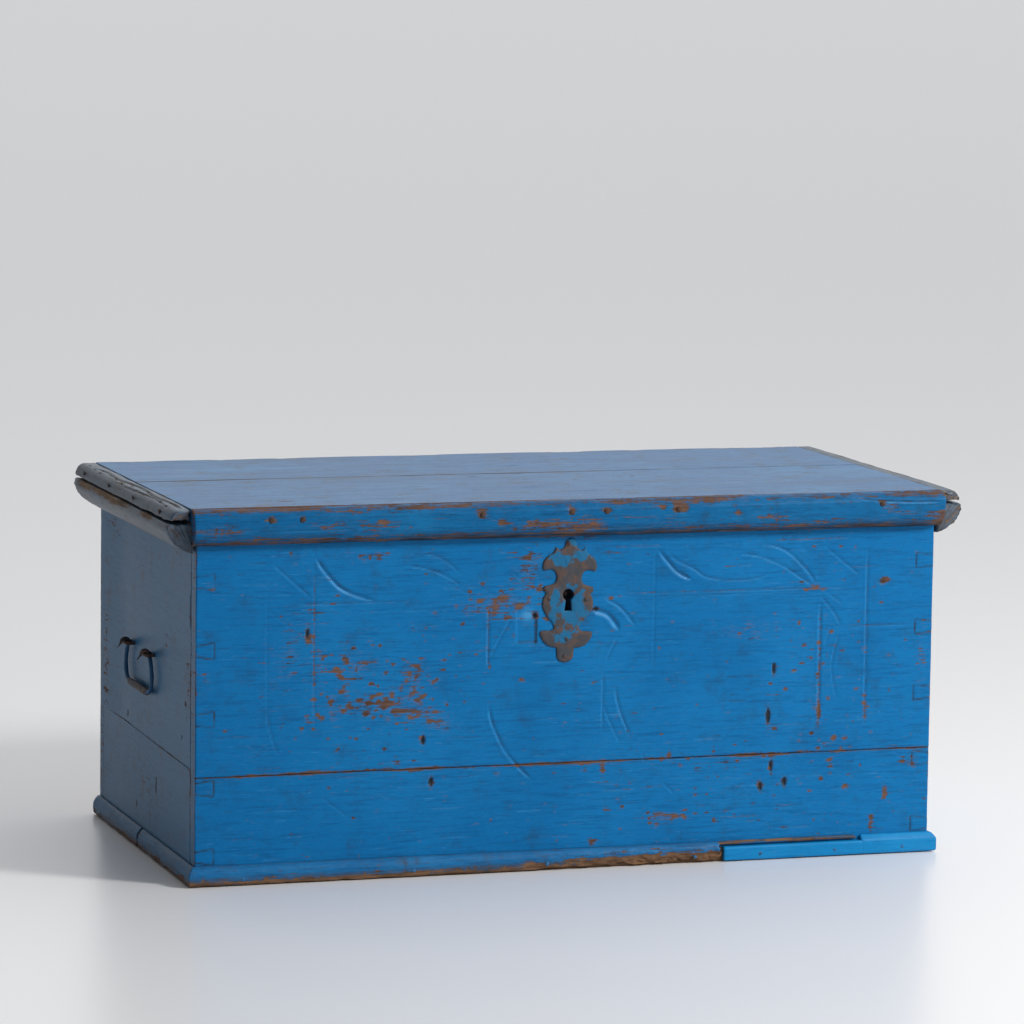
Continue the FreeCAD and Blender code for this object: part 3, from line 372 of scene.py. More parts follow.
def moulding(name, outline, start, along, outward, span, step, body, finish, nodes,
             relief=None, slants=(0, 0), jag=(0, 0), softening=2, spacing=1.6, seed=1):
    """A profile (u outward, v up) carried along a straight run of stations s. Each end may be
    slanted in proportion to u and broken off along a ragged line; relief moves the skin along
    the outline's own normal."""
    profile = outline_of(outline, spacing, softening)
    tangent = np.roll(profile, -1, axis=0) - np.roll(profile, 1, axis=0)
    normal = np.stack([tangent[:, 1], -tangent[:, 0]], axis=1)
    normal /= np.hypot(*normal.T)[:, None]
    if np.sum(normal * (profile - profile.mean(0))) < 0:
        normal = -normal
    stations = lattice(span, step, 2.0)
    s, k = np.meshgrid(stations, np.arange(len(profile)), indexing="ij")
    u, v = profile[k, 0], profile[k, 1]
    marks = Surface(s, v)
    marks.u = u
    if relief is not None:
        relief(marks)
    end_round = np.clip(1 - np.minimum(s, span - s) / 2.0, 0, 1) ** 2
    push = marks.height - 0.9 * end_round
    u_out, v_out = u + push * normal[k, 0], v + push * normal[k, 1]
    share = s / span
    ragged = rough(u / 5, v / 4, seed + 21, 3)
    s_out = s + slants[0] * u * (1 - share) + slants[1] * u * share
    s_out = s_out + jag[0] * (0.6 + ragged) * np.exp(-s / 18)
    s_out = s_out - jag[1] * (0.6 + ragged) * np.exp(-(span - s) / 18)
    points = (start + s_out[..., None] * along + u_out[..., None] * outward
              + v_out[..., None] * Z)
    marks.wear += 0.2 * end_round
    return add_piece(name, points.reshape(-1, 3), ring_faces(*s.shape), body, [finish], nodes,
                     {"wear": marks.wear.ravel(), "grime_and_shading": marks.grime_and_shading.ravel()}, flat=2)


def tube(line, radius, sides=16, flatten=1.0):
    """A closed skin round a line with a radius at each place: circles set square to the line,
    turned as little as possible from one to the next, closed by a face at each end."""
    angle = np.linspace(0, 2 * math.pi, sides, endpoint=False)
    tangent = np.gradient(line, axis=0)
    tangent /= np.linalg.norm(tangent, axis=1)[:, None]
    side = np.cross(tangent[0], X + 0.31 * Z)
    turned = []
    for direction in tangent:
        side = side - direction * (side @ direction)
        side = side / np.linalg.norm(side)
        turned.append(side)
    side = np.array(turned)
    other = np.cross(tangent, side)
    ring = (np.cos(angle)[None, :, None] * side[:, None, :]
            + flatten * np.sin(angle)[None, :, None] * other[:, None, :])
    skin = line[:, None, :] + np.asarray(radius)[:, None, None] * ring
    return skin.reshape(-1, 3), ring_faces(len(line), sides)


def together(parts):
    """Several point-and-face sets as one: faces are renumbered and gathered by corner count."""
    points, by_count, offset = [], {}, 0
    for part_points, part_faces in parts:
        points.append(part_points)
        for corners in part_faces:
            by_count.setdefault(corners.shape[1], []).append(corners + offset)
        offset += len(part_points)
    return np.vstack(points), [np.concatenate(group) for group in by_count.values()]


def nail_heads(places, radius, high, seed, deep=6.0):
    """Hammered nail heads: a dome turned round each nail's line, dented by noise, on a shank.
    Each place is (point, outward direction); the dome's edge lies on the point."""
    reach_out = np.array([0.05, 0.42, 0.74, 0.95, 1.02, 0.9, 0.42, 0.4, 0.05])
    lift = np.array([1.0, 0.93, 0.72, 0.35, 0.0, -0.25, -0.3, 0, 0]) * high
    lift[-2:] = -deep
    angle = np.linspace(0, 2 * math.pi, 14, endpoint=False)
    ring, turn = np.meshgrid(np.arange(len(reach_out)), angle, indexing="ij")
    parts = []
    for number, (point, outward) in enumerate(places):
        outward = np.asarray(outward, float)
        side = np.cross(outward, [0.3, 0.5, 0.81])
        side /= np.linalg.norm(side)
        other = np.cross(outward, side)
        dent = value_noise(np.cos(turn) * 1.3 + 3.7 * number, np.sin(turn) * 1.3 + ring * 0.25,
                           seed)
        wide = radius * reach_out[ring] * (1 + 0.16 * dent * (ring < 6))
        tall = lift[ring] + 0.22 * high * dent * (ring < 5)
        skin = (np.asarray(point)[None, None] + (wide * np.cos(turn))[..., None] * side
                + (wide * np.sin(turn))[..., None] * other + tall[..., None] * outward)
        parts.append((skin.reshape(-1, 3), ring_faces(*ring.shape)))
    return together(parts)


# ------------------------------------------------------------------ finishes

def add(tree, kind, inputs=(), **settings):
    """A shader node; inputs maps a socket's name or number to a value or another socket."""
    node = tree.nodes.new(kind)
    for key, value in settings.items():
        setattr(node, key, value)
    for key, value in dict(inputs).items():
        socket = node.inputs[key]
        if isinstance(value, bpy.types.NodeSocket):
            tree.links.new(value, socket)
        else:
            socket.default_value = value
    return node


def calc(tree, operation, a, b=0.0, c=0.0, clamp=False):
    """One maths node and its result."""
    node = add(tree, "ShaderNodeMath", {0: a, 1: b, 2: c}, operation=operation,
               use_clamp=clamp)
    return node.outputs[0]


def step_between(tree, value, low, high):
    """0 below low, 1 above high, smooth between."""
    node = add(tree, "ShaderNodeMapRange", {"Value": value, "From Min": low, "From Max": high},
               interpolation_type="SMOOTHSTEP")
    return node.outputs[0]


def mixed(tree, share, a, b):
    """Colour a turning into b by share."""
    node = add(tree, "ShaderNodeMix", {0: share, 6: a, 7: b}, data_type="RGBA")
    return node.outputs[2]


def noise(tree, vector, scale, detail=4.0, roughness=0.55, distortion=0.0):
    """A noise texture's value at a vector."""
    node = add(tree, "ShaderNodeTexNoise", {"Vector": vector, "Scale": scale, "Detail": detail,
                                            "Roughness": roughness, "Distortion": distortion})
    return node.outputs["Fac"]


def stretched(tree, vector, factors):
    """A vector scaled along each axis."""
    node = add(tree, "ShaderNodeMapping", {"Vector": vector, "Scale": factors},
               vector_type="POINT")
    return node.outputs[0]


def new_group(name, inputs, outputs):
    """An empty node group with named sockets; gives the tree, its inputs and its output node."""
    tree = bpy.data.node_groups.new(name, "ShaderNodeTree")
    kinds = {"f": "NodeSocketFloat", "c": "NodeSocketColor", "v": "NodeSocketVector"}
    for label, kind in inputs:
        tree.interface.new_socket(name=label, in_out="INPUT", socket_type=kinds[kind])
    for label, kind in outputs:
        tree.interface.new_socket(name=label, in_out="OUTPUT", socket_type=kinds[kind])
    entry = tree.nodes.new("NodeGroupInput")
    leave = tree.nodes.new("NodeGroupOutput")
    return tree, {label: entry.outputs[label] for label, _ in inputs}, leave


def put_out(tree, leave, **sockets):
    """Joins the named results to the group's output."""
    for label, socket in sockets.items():
        tree.links.new(socket, leave.inputs[label])


def make_flaking():
    """Where paint has flaked: coarse and fine noise drawn out along the grain, helped by the
    wear painted on the mesh, is cut off at a level. Thin is a softer cut of finer streaks."""
    tree, given, leave = new_group("flaking", [("Grain", "v"), ("Place", "v"), ("Wear", "f"),
                                               ("Amount", "f")],
                                   [("Chip", "f"), ("Thin", "f")])
    long_flakes = noise(tree, given["Grain"], 11.0, 8.0, 0.68)
    round_flakes = noise(tree, given["Place"], 95.0, 7.0, 0.7)
    clouds = noise(tree, given["Place"], 4.5, 3.0, 0.5)
    level = calc(tree, "MULTIPLY_ADD", long_flakes, 0.6, calc(
        tree, "MULTIPLY_ADD", round_flakes, 0.38, calc(tree, "MULTIPLY", clouds, 0.2)))
    level = calc(tree, "ADD", level, calc(tree, "MULTIPLY", given["Wear"], 0.28))
    level = calc(tree, "ADD", level, given["Amount"])
    rubbed = noise(tree, given["Grain"], 24.0, 6.0, 0.75)
    rubbed = calc(tree, "MULTIPLY_ADD", given["Wear"], 0.34, rubbed)
    rubbed = calc(tree, "MULTIPLY_ADD", clouds, 0.12, rubbed)
    put_out(tree, leave, Chip=step_between(tree, level, 0.72, 0.738),
            Thin=step_between(tree, rubbed, 0.655, 0.8))
    return tree


def make_old_paint():
    """Hand-brushed paint: broad clouds of tone, streaks along the grain and pale scratches; the
    grime input darkens it as dirt and painted shade, and where below nought lightens it as a
    painted highlight.
    """
    tree, given, leave = new_group("old_paint", [
        ("Grain", "v"), ("Place", "v"), ("Paint", "c"), ("Pale", "c"), ("Deep", "c"),
        ("Grime_and_shading", "f"), ("Dirt_and_shade", "c"), ("Dirtiness", "f"), ("Scratch_and_highlight", "c"), ("Scratch", "v")],
        [("Color", "c"), ("Height", "f"), ("Gloss", "f")])
    clouds = noise(tree, given["Place"], 5.0, 5.0, 0.6)
    streaks = noise(tree, given["Grain"], 9.0, 5.0, 0.65)
    speckle = noise(tree, given["Place"], 240.0, 3.0, 0.6)
    tone = mixed(tree, step_between(tree, clouds, 0.35, 0.7), given["Paint"], given["Pale"])
    tone = mixed(tree, calc(tree, "MULTIPLY", step_between(tree, streaks, 0.48, 0.7), 0.7),
                 tone, given["Deep"])
    brushed = noise(tree, given["Grain"], 30.0, 4.0, 0.7)
    tone = mixed(tree, calc(tree, "MULTIPLY", step_between(tree, brushed, 0.5, 0.68), 0.5),
                 tone, given["Deep"])
    tone = mixed(tree, calc(tree, "MULTIPLY", step_between(tree, speckle, 0.52, 0.7), 0.35),
                 tone, given["Pale"])
    soot = noise(tree, given["Place"], 28.0, 6.0, 0.7)
    dirty = calc(tree, "MULTIPLY", step_between(tree, soot, 0.5, 0.78), given["Dirtiness"])
    # dirt and painted shade: darkens towards the dirt colour where the grime value is above nought
    dirt_and_shade_share = calc(tree, "MULTIPLY", given["Grime_and_shading"],
                   calc(tree, "MULTIPLY_ADD", soot, 1.1, 0.35), clamp=True)
    # painted highlight: lightens towards the scrape colour where the grime value is below nought
    painted_highlight = calc(tree, "MULTIPLY", given["Grime_and_shading"], -1.3, clamp=True)
    tone = mixed(tree, painted_highlight, tone, given["Scratch_and_highlight"])
    scratches = noise(tree, given["Scratch"], 13.0, 3.0, 0.6)
    tone = mixed(tree, calc(tree, "MULTIPLY", step_between(tree, scratches, 0.68, 0.74), 0.6),
                 tone, given["Scratch_and_highlight"])
    tone = mixed(tree, calc(tree, "MAXIMUM", dirty, dirt_and_shade_share, clamp=True), tone, given["Dirt_and_shade"])
    height = calc(tree, "MULTIPLY_ADD", streaks, 0.7, calc(
        tree, "MULTIPLY_ADD", speckle, 0.3, calc(tree, "MULTIPLY", brushed, 0.35)))
    put_out(tree, leave, Color=tone, Height=height, Gloss=clouds)
    return tree


def make_bare_wood():
    """Old pine: dark growth lines drawn out along the grain over a brown that drifts."""
    tree, given, leave = new_group("bare_wood", [("Grain", "v"), ("Place", "v"), ("Light", "c"),
                                                 ("Dark", "c")],
                                   [("Color", "c"), ("Height", "f")])
    lines = noise(tree, given["Grain"], 6.0, 6.0, 0.7, 0.6)
    drift = noise(tree, given["Place"], 14.0, 4.0, 0.6)
    share = calc(tree, "ADD", calc(tree, "MULTIPLY", step_between(tree, lines, 0.4, 0.66), 0.6),
                 calc(tree, "MULTIPLY", step_between(tree, drift, 0.4, 0.7), 0.45), clamp=True)
    put_out(tree, leave, Color=mixed(tree, share, given["Light"], given["Dark"]), Height=lines)
    return tree


def make_forged_skin():
    """Hammered iron: blotches of rust over dark scale, with small pits."""
    tree, given, leave = new_group("forged_skin", [("Place", "v"), ("Scale", "c"), ("Rust", "c"),
                                                   ("Rusty", "f")],
                                   [("Color", "c"), ("Height", "f"), ("Blotch", "f")])
    blotch = noise(tree, given["Place"], 90.0, 6.0, 0.65)
    pits = noise(tree, given["Place"], 420.0, 4.0, 0.6)
    share = calc(tree, "MULTIPLY", step_between(tree, blotch, 0.42, 0.62), given["Rusty"])
    height = calc(tree, "MULTIPLY_ADD", pits, 0.6, calc(tree, "MULTIPLY", blotch, 0.8))
    put_out(tree, leave, Color=mixed(tree, share, given["Scale"], given["Rust"]),
            Height=height, Blotch=blotch)
    return tree


flaking, old_paint = make_flaking(), make_old_paint()
bare_wood, forged_skin = make_bare_wood(), make_forged_skin()


def new_finish(name, glint=0.5):
    """An empty material: its shader and the Object coordinates."""
    finish = bpy.data.materials.new(name)
    finish.use_nodes = True
    tree = finish.node_tree
    tree.nodes.clear()
    surface = tree.nodes.new("ShaderNodeBsdfPrincipled")
    leave = tree.nodes.new("ShaderNodeOutputMaterial")
    tree.links.new(surface.outputs[0], leave.inputs[0])
    surface.inputs["Specular IOR Level"].default_value = glint
    place = tree.nodes.new("ShaderNodeTexCoord").outputs["Object"]
    return finish, tree, surface, place


def attribute(tree, label):
    """A value stored on the mesh."""
    return add(tree, "ShaderNodeAttribute", attribute_name=label).outputs["Fac"]


def feed(tree, surface, color, roughness, height, depth):
    """Colour, roughness and a bump whose full height is depth metres."""
    tree.links.new(color, surface.inputs["Base Color"])
    tree.links.new(roughness, surface.inputs["Roughness"])
    raised = add(tree, "ShaderNodeBump", {"Height": height, "Strength": 1.0, "Distance": depth})
    tree.links.new(raised.outputs[0], surface.inputs["Normal"])


def painted_wood(name, paint, pale, deep, grain, amount=0.0, dirtiness=0.35, gloss=0.42,
                 dirt_and_shade_color=(0.02, 0.03, 0.04, 1), light=(0.155, 0.088, 0.066, 1),
                 dark=(0.05, 0.028, 0.018, 1), thickness=0.0006, glint=0.3,
                 scratch_and_highlight=(0.05, 0.27, 0.55, 1), rub=0.6, rubbed=(0.15, 0.115, 0.135, 1)):
    """Blue paint over pine: paint where it holds, wood where it has flaked."""
    finish, tree, surface, place = new_finish(name, glint)
    along = stretched(tree, place, grain)
    wear, grime_and_shading = attribute(tree, "wear"), attribute(tree, "grime_and_shading")
    flakes = add(tree, "ShaderNodeGroup", node_tree=flaking)
    for label, value in (("Grain", along), ("Place", place), ("Wear", wear)):
        tree.links.new(value, flakes.inputs[label])
    flakes.inputs["Amount"].default_value = amount
    coat = add(tree, "ShaderNodeGroup", node_tree=old_paint)
    fine = stretched(tree, along, (1.0, 1.6, 1.6) if grain[0] < grain[1] else (1.6, 1.0, 1.6))
    for label, value in (("Grain", along), ("Place", place), ("Grime_and_shading", grime_and_shading),
                         ("Scratch", fine)):
        tree.links.new(value, coat.inputs[label])
    # the scrape colour also paints the highlights, and the dirt colour also paints the shade
    coat.inputs["Scratch_and_highlight"].default_value = scratch_and_highlight
    for label, value in (("Paint", paint), ("Pale", pale), ("Deep", deep), ("Dirt_and_shade", dirt_and_shade_color),
                         ("Dirtiness", dirtiness)):
        coat.inputs[label].default_value = value
    wood = add(tree, "ShaderNodeGroup", node_tree=bare_wood)
    for label, value in (("Grain", along), ("Place", place)):
        tree.links.new(value, wood.inputs[label])
    wood.inputs["Light"].default_value, wood.inputs["Dark"].default_value = light, dark
    thin = mixed(tree, calc(tree, "MULTIPLY", flakes.outputs["Thin"], rub),
                 coat.outputs["Color"], rubbed)
    color = mixed(tree, flakes.outputs["Chip"], thin, wood.outputs["Color"])
    roughness = calc(tree, "MULTIPLY_ADD", coat.outputs["Gloss"], 0.2, gloss - 0.1)
    roughness = calc(tree, "MULTIPLY_ADD", flakes.outputs["Chip"], 0.3, roughness, clamp=True)
    height = calc(tree, "SUBTRACT", calc(tree, "MULTIPLY", coat.outputs["Height"], 0.55),
                  calc(tree, "MULTIPLY", flakes.outputs["Chip"], 0.5))
    feed(tree, surface, color, roughness, height, thickness)
    return finish


def bare_pine(name, grain, light=(0.3, 0.17, 0.08, 1), dark=(0.12, 0.06, 0.03, 1)):
    """Unpainted pine, darkened by age."""
    finish, tree, surface, place = new_finish(name)
    wood = add(tree, "ShaderNodeGroup", node_tree=bare_wood)
    tree.links.new(stretched(tree, place, grain), wood.inputs["Grain"])
    tree.links.new(place, wood.inputs["Place"])
    wood.inputs["Light"].default_value, wood.inputs["Dark"].default_value = light, dark
    roughness = calc(tree, "MULTIPLY_ADD", wood.outputs["Height"], 0.2, 0.6)
    feed(tree, surface, wood.outputs["Color"], roughness, wood.outputs["Height"], 0.0005)
    return finish


def iron(name, scale, rust, rusty, metal=0.6, roughness=0.5, paint=None, cover=0.0,
         glint=0.5):
    """Forged iron, with what is left of the blue paint where cover says."""
    finish, tree, surface, place = new_finish(name, glint)
    skin = add(tree, "ShaderNodeGroup", node_tree=forged_skin)
    tree.links.new(place, skin.inputs["Place"])
    skin.inputs["Scale"].default_value, skin.inputs["Rust"].default_value = scale, rust
    skin.inputs["Rusty"].default_value = rusty
    color, metallic = skin.outputs["Color"], None
    if paint is not None:
        wear = attribute(tree, "wear")
        patches = calc(tree, "ADD", noise(tree, place, 60.0, 6.0, 0.65),
                       calc(tree, "MULTIPLY", wear, 0.35))
        painted = step_between(tree, patches, cover + 0.03, cover - 0.03)
        color = mixed(tree, painted, color, paint)
        metallic = calc(tree, "MULTIPLY_ADD", painted, -metal, metal)
        tree.links.new(metallic, surface.inputs["Metallic"])
    else:
        surface.inputs["Metallic"].default_value = metal
    rougher = calc(tree, "MULTIPLY_ADD", skin.outputs["Blotch"], 0.3, roughness - 0.1)
    feed(tree, surface, color, rougher, skin.outputs["Height"], 0.0005)
    return finish


ALONG_X, ALONG_Y = (2.0, 34.0, 34.0), (34.0, 2.0, 34.0)
blue, pale_blue = (0.0008, 0.14, 0.375, 1), (0.003, 0.17, 0.43, 1)
deep_blue = (0.0005, 0.09, 0.26, 1)
front_finish = painted_wood("front_paint", blue, pale_blue, deep_blue, ALONG_X, 0.0, 0.35,
                            glint=0.12)
side_finish = painted_wood("side_paint", (0.012, 0.125, 0.27, 1), (0.04, 0.16, 0.31, 1),
                           (0.012, 0.07, 0.16, 1), ALONG_Y, 0.0, 0.75,
                           dirt_and_shade_color=(0.045, 0.042, 0.042, 1), scratch_and_highlight=(0.06, 0.17, 0.3, 1))
lid_finish = painted_wood("lid_paint", (0.012, 0.14, 0.35, 1), (0.07, 0.22, 0.44, 1),
                          (0.002, 0.035, 0.12, 1), ALONG_X, -0.01, 0.9, thickness=0.0013,
                          dirt_and_shade_color=(0.05, 0.055, 0.05, 1))
rail_finish = painted_wood("lid_rail_paint", (0.001, 0.11, 0.29, 1), (0.004, 0.15, 0.36, 1),
                           (0.001, 0.055, 0.15, 1), ALONG_X, 0.03, 0.6, glint=0.12)
end_finish = painted_wood("lid_end_paint", (0.06, 0.105, 0.165, 1), (0.13, 0.16, 0.19, 1),
                          (0.03, 0.045, 0.06, 1), ALONG_Y, 0.015, 0.9,
                          light=(0.2, 0.125, 0.07, 1), dark=(0.06, 0.045, 0.032, 1),
                          scratch_and_highlight=(0.16, 0.2, 0.24, 1))
foot_finish = painted_wood("foot_paint", (0.004, 0.13, 0.34, 1), (0.012, 0.18, 0.42, 1),
                           (0.004, 0.06, 0.17, 1), ALONG_X, 0.04, 0.7, glint=0.15,
                           dirt_and_shade_color=(0.05, 0.05, 0.048, 1), light=(0.2, 0.11, 0.06, 1))
foot_end_finish = painted_wood("foot_end_paint", (0.012, 0.11, 0.24, 1), (0.03, 0.15, 0.3, 1),
                               (0.01, 0.05, 0.12, 1), ALONG_Y, 0.03, 0.8, glint=0.2,
                               dirt_and_shade_color=(0.05, 0.05, 0.048, 1))
mended_finish = painted_wood("mended_paint", (0.001, 0.205, 0.48, 1), (0.01, 0.25, 0.56, 1),
                             (0.001, 0.15, 0.39, 1), ALONG_X, -0.03, 0.12, glint=0.15)
pine_x, pine_y = bare_pine("bare_pine_long", ALONG_X), bare_pine("bare_pine_ends", ALONG_Y)
plate_finish = iron("key_plate_iron", (0.055, 0.06, 0.07, 1), (0.11, 0.068, 0.055, 1), 0.85,
                    0.15, 0.55, (0.008, 0.125, 0.27, 1), 0.53, 0.2)
handle_finish = iron("handle_iron", (0.022, 0.024, 0.028, 1), (0.15, 0.095, 0.08, 1), 0.7, 0.2,
                     0.5, (0.012, 0.075, 0.17, 1), 0.62, 0.3)
plate_nail = iron("plate_nails", (0.035, 0.037, 0.04, 1), (0.1, 0.06, 0.045, 1), 0.8, 0.2, 0.5,
                  (0.008, 0.1, 0.22, 1), 0.42, 0.2)
painted_nail = iron("painted_nails", (0.03, 0.03, 0.03, 1), (0.09, 0.045, 0.03, 1), 0.6, 0.3,
                    0.5, (0.004, 0.12, 0.3, 1), 0.55)
dark_iron = iron("dark_iron", (0.035, 0.03, 0.028, 1), (0.1, 0.045, 0.025, 1), 0.7, 0.5, 0.55)


# ------------------------------------------------------------------ front boards

# gouged lines of the front: points (x, z), width, depth, wear, grime (dirt and painted shade on
# one wall, painted highlight on the other)
FRONT_STROKES = [
    ([(-399, 482), (-375, 450), (-350, 428), (-295, 408)], 5.5, 2.2, 0.0, 0.75),
    ([(-464, 474), (-432, 446), (-400, 418)], 3.5, 1.0, 0.05, 0.4),
    ([(-468, 450), (-468, 330), (-467, 200)], 2.6, 0.45, 0.06, 0.22),
    ([(-397, 470), (-397, 350), (-396, 205)], 2.8, 0.6, 0.35, 0.3),
    ([(-131, 405), (-131, 300)], 3.6, 1.0, 0.3, 0.45),
    ([(49, 295), (49, 200)], 3.4, 0.9, 0.05, 0.35),
    ([(128, 480), (128, 290)], 3.0, 0.7, 0.04, 0.3),
    ([(393, 400), (393, 300), (393, 190)], 4.2, 1.5, 0.24, 0.5),
    ([(468, 485), (468, 330), (468, 190)], 3.6, 1.0, 0.16, 0.4),
    ([(-465, 482), (-400, 482)], 3.0, 0.7, 0.05, 0.35),
    ([(55, 482), (150, 481)], 3.0, 0.7, 0.4, 0.35),
    ([(310, 484), (445, 485)], 3.2, 0.9, 0.4, 0.5),
    ([(-440, 409), (-330, 410), (-225, 408)], 3.2, 0.8, 0.3, 0.4),
    ([(55, 411), (250, 410), (465, 409)], 3.2, 0.9, 0.4, 0.45),
    ([(70, 406), (260, 405), (440, 404)], 2.8, 0.6, 0.04, 0.3),
    ([(430, 351), (545, 350)], 3.0, 0.7, 0.35, 0.35),
    ([(170, 150), (260, 152), (410, 166)], 2.6, 0.5, 0.3, 0.3),
    ([(-500, 472), (-468, 472)], 3.0, 0.7, 0.05, 0.4),
    ([(-470, 405), (-430, 375)], 2.8, 0.5, 0.0, 0.2),
    ([(-468, 260), (-460, 215), (-447, 185)], 2.8, 0.6, 0.05, 0.25),
    ([(-387, 127), (-340, 90)], 3.0, 0.7, 0.05, 0.3),
    ([(-260, 462), (-230, 458), (-200, 447), (-165, 425)], 3.8, 1.2, 0.02, 0.5),
    ([(-240, 480), (-215, 477), (-190, 462), (-175, 450)], 3.4, 0.9, 0.02, 0.4),
    ([(-200, 440), (-150, 410)], 3.0, 0.7, 0.0, 0.3),
    ([(-130, 260), (-125, 230), (-115, 205), (-100, 178), (-75, 150), (-55, 133)],
     4.4, 1.4, 0.12, 0.5),
    ([(-128, 320), (-115, 345), (-92, 385)], 3.2, 0.8, 0.0, 0.35),
    ([(-95, 448), (-75, 430)], 3.0, 0.7, 0.0, 0.3),
    ([(-140, 425), (-105, 400)], 3.0, 0.6, 0.0, 0.25),
    ([(30, 388), (55, 380), (75, 355)], 8.0, 2.6, 0.0, 0.9),
    ([(50, 405), (75, 390), (102, 358)], 4.4, 1.3, 0.02, 0.5),
    ([(70, 345), (60, 325), (52, 310)], 3.4, 0.9, 0.02, 0.35),
    ([(68, 275), (72, 250), (80, 225), (97, 188)], 4.0, 1.2, 0.08, 0.45),
    ([(50, 245), (60, 220), (80, 180)], 3.4, 0.9, 0.05, 0.35),
    ([(130, 478), (150, 455), (165, 440), (190, 427)], 5.5, 2.2, 0.0, 0.75),
    ([(142, 478), (160, 460), (190, 445), (210, 432), (250, 426), (290, 428), (315, 436)],
     3.8, 1.2, 0.02, 0.5),
    ([(255, 465), (290, 462), (330, 446), (360, 427), (388, 410)], 3.8, 1.2, 0.04, 0.5),
    ([(290, 479), (320, 475), (345, 462), (375, 432), (385, 415)], 4.2, 1.4, 0.04, 0.55),
    ([(395, 476), (430, 448), (460, 425)], 3.6, 1.0, 0.04, 0.45),
    ([(400, 405), (430, 385)], 3.2, 0.8, 0.04, 0.35),
    ([(390, 402), (415, 372), (428, 350)], 3.6, 1.0, 0.06, 0.4),
    ([(425, 345), (413, 290), (422, 235)], 3.2, 0.7, 0.05, 0.3),
    ([(412, 355), (400, 320)], 3.0, 0.6, 0.03, 0.25),
    ([(112, 170), (118, 155)], 3.0, 0.6, 0.04, 0.3),
    ([(145, 125), (165, 105)], 3.2, 0.8, 0.05, 0.35),
    ([(155, 130), (200, 130)], 3.0, 0.6, 0.04, 0.3),
]
# nail slits: x, z, half width, half height
FRONT_SLITS = [(320, 290, 2.4, 8), (312, 218, 2.6, 11), (318, 142, 2.4, 8), (301, 111, 3, 6),
               (340, 117, 3, 6), (-230, 203, 3, 6), (-217, 140, 3, 6), (-407, 366, 2.2, 8),
               (492, 417, 3, 3), (-59, 382, 3, 4), (35, 389, 4, 3)]
# worn patches: x, z, half width, half height, wear
FRONT_PATCHES = [(-330, 320, 26, 20, 0.34), (-290, 260, 60, 22, 0.34), (-245, 300, 22, 26, 0.3),
                 (-230, 240, 34, 16, 0.3), (-200, 225, 24, 14, 0.3), (-370, 250, 14, 22, 0.24),
                 (-120, 400, 60, 18, 0.34), (-70, 450, 16, 26, 0.3), (-430, 330, 50, 60, 0.2),
                 (-300, 480, 60, 10, 0.3), (120, 500, 120, 8, 0.2), (300, 350, 60, 26, 0.22),
                 (497, 420, 6, 7, 0.9), (385, 413, 7, 4, 0.7), (417, 179, 6, 5, 0.7),
                 (437, 180, 6, 5, 0.6), (150, 72, 32, 9, 0.5), (503, 92, 4, 12, 0.7),
                 (482, 50, 5, 16, 0.6), (35, 38, 8, 6, 0.7), (50, 150, 4, 10, 0.9),
                 (-405, 161, 30, 3, 0.6), (18, 158, 16, 3, 0.6), (-8, 500, 60, 5, 0.35),
                 (-60, 470, 12, 6, 0.3), (-555, 440, 12, 7, 0.4), (-560, 300, 9, 30, 0.3),
                 (393, 222, 5, 26, 0.5), (468, 224, 5, 22, 0.5), (560, 300, 10, 60, 0.25),
                 (-480, 200, 30, 12, 0.22), (250, 350, 50, 12, 0.18), (540, 140, 16, 8, 0.4)]
PIN_CENTRES = np.array([43, 144, 245, 346, 447])
PIN_ROOT, PIN_TIP = 12.0, 8.0


def pin_lines(marks):
    """Thin cracks round the dovetail pins: each pin narrows from its root to the outer edge."""
    for centre in PIN_CENTRES:
        for end in (left, right):
            inward = (marks.a - end) * (1 if end < 0 else -1)
            half = PIN_TIP + (PIN_ROOT - PIN_TIP) * np.clip(inward / wall, 0, 1)
            off = np.abs(marks.b - centre)
            along = rise(-inward, -wall - 1, -wall + 1)
            root = bump(inward - wall, 1.3) * rise(-off, -half - 1, -half + 1)
            crack = np.maximum(bump(off - half, 1.3) * along, root)
            broken = 0.45 + 0.55 * rough(marks.a / 12, marks.b / 12, int(centre), 3)
            marks.height -= 0.8 * crack * broken
            marks.grime_and_shading += 1.7 * crack * np.clip(broken, 0, 1)
            marks.wear += 0.4 * crack * np.clip(broken, 0, 1)
            marks.height += 0.35 * rise(-off, -half, -half + 2) * along


def planed_waves(marks, seed, deep=0.4):
    """Slow hollows left by the plane and fine ridges of grain drawn out along x."""
    marks.height += deep * rough(marks.a / 240, marks.b / 55, seed, 3)
    marks.height += 0.16 * rough(marks.a / 70, marks.b / 7, seed + 11, 3)


def keyhole_pocket(marks):
    """The hole behind the key plate: a round with a slot below it, sunk into the board and painted
    dark inside as shade.
    """
    round_part = np.hypot(marks.a - key_x, marks.b - key_z) - 9.5
    slot_part = np.maximum(np.abs(marks.a - key_x) - 6.2,
                           np.maximum(marks.b - key_z, key_z - key_drop - 1.5 - marks.b))
    inside = rise(-np.minimum(round_part, slot_part), -1.5, 0.6)
    marks.height -= 22 * inside
    marks.grime_and_shading += 2 * inside


def seam_wear(marks):
    """Chipped paint and grime along the line where the two front boards meet."""
    near = np.exp(-np.abs(marks.b - seam) / 2.0)
    marks.wear += near * (0.25 + 0.55 * rough(marks.a / 45, marks.b * 0, 21, 4))
    marks.grime_and_shading += 0.7 * np.exp(-np.abs(marks.b - seam) / 1.4)


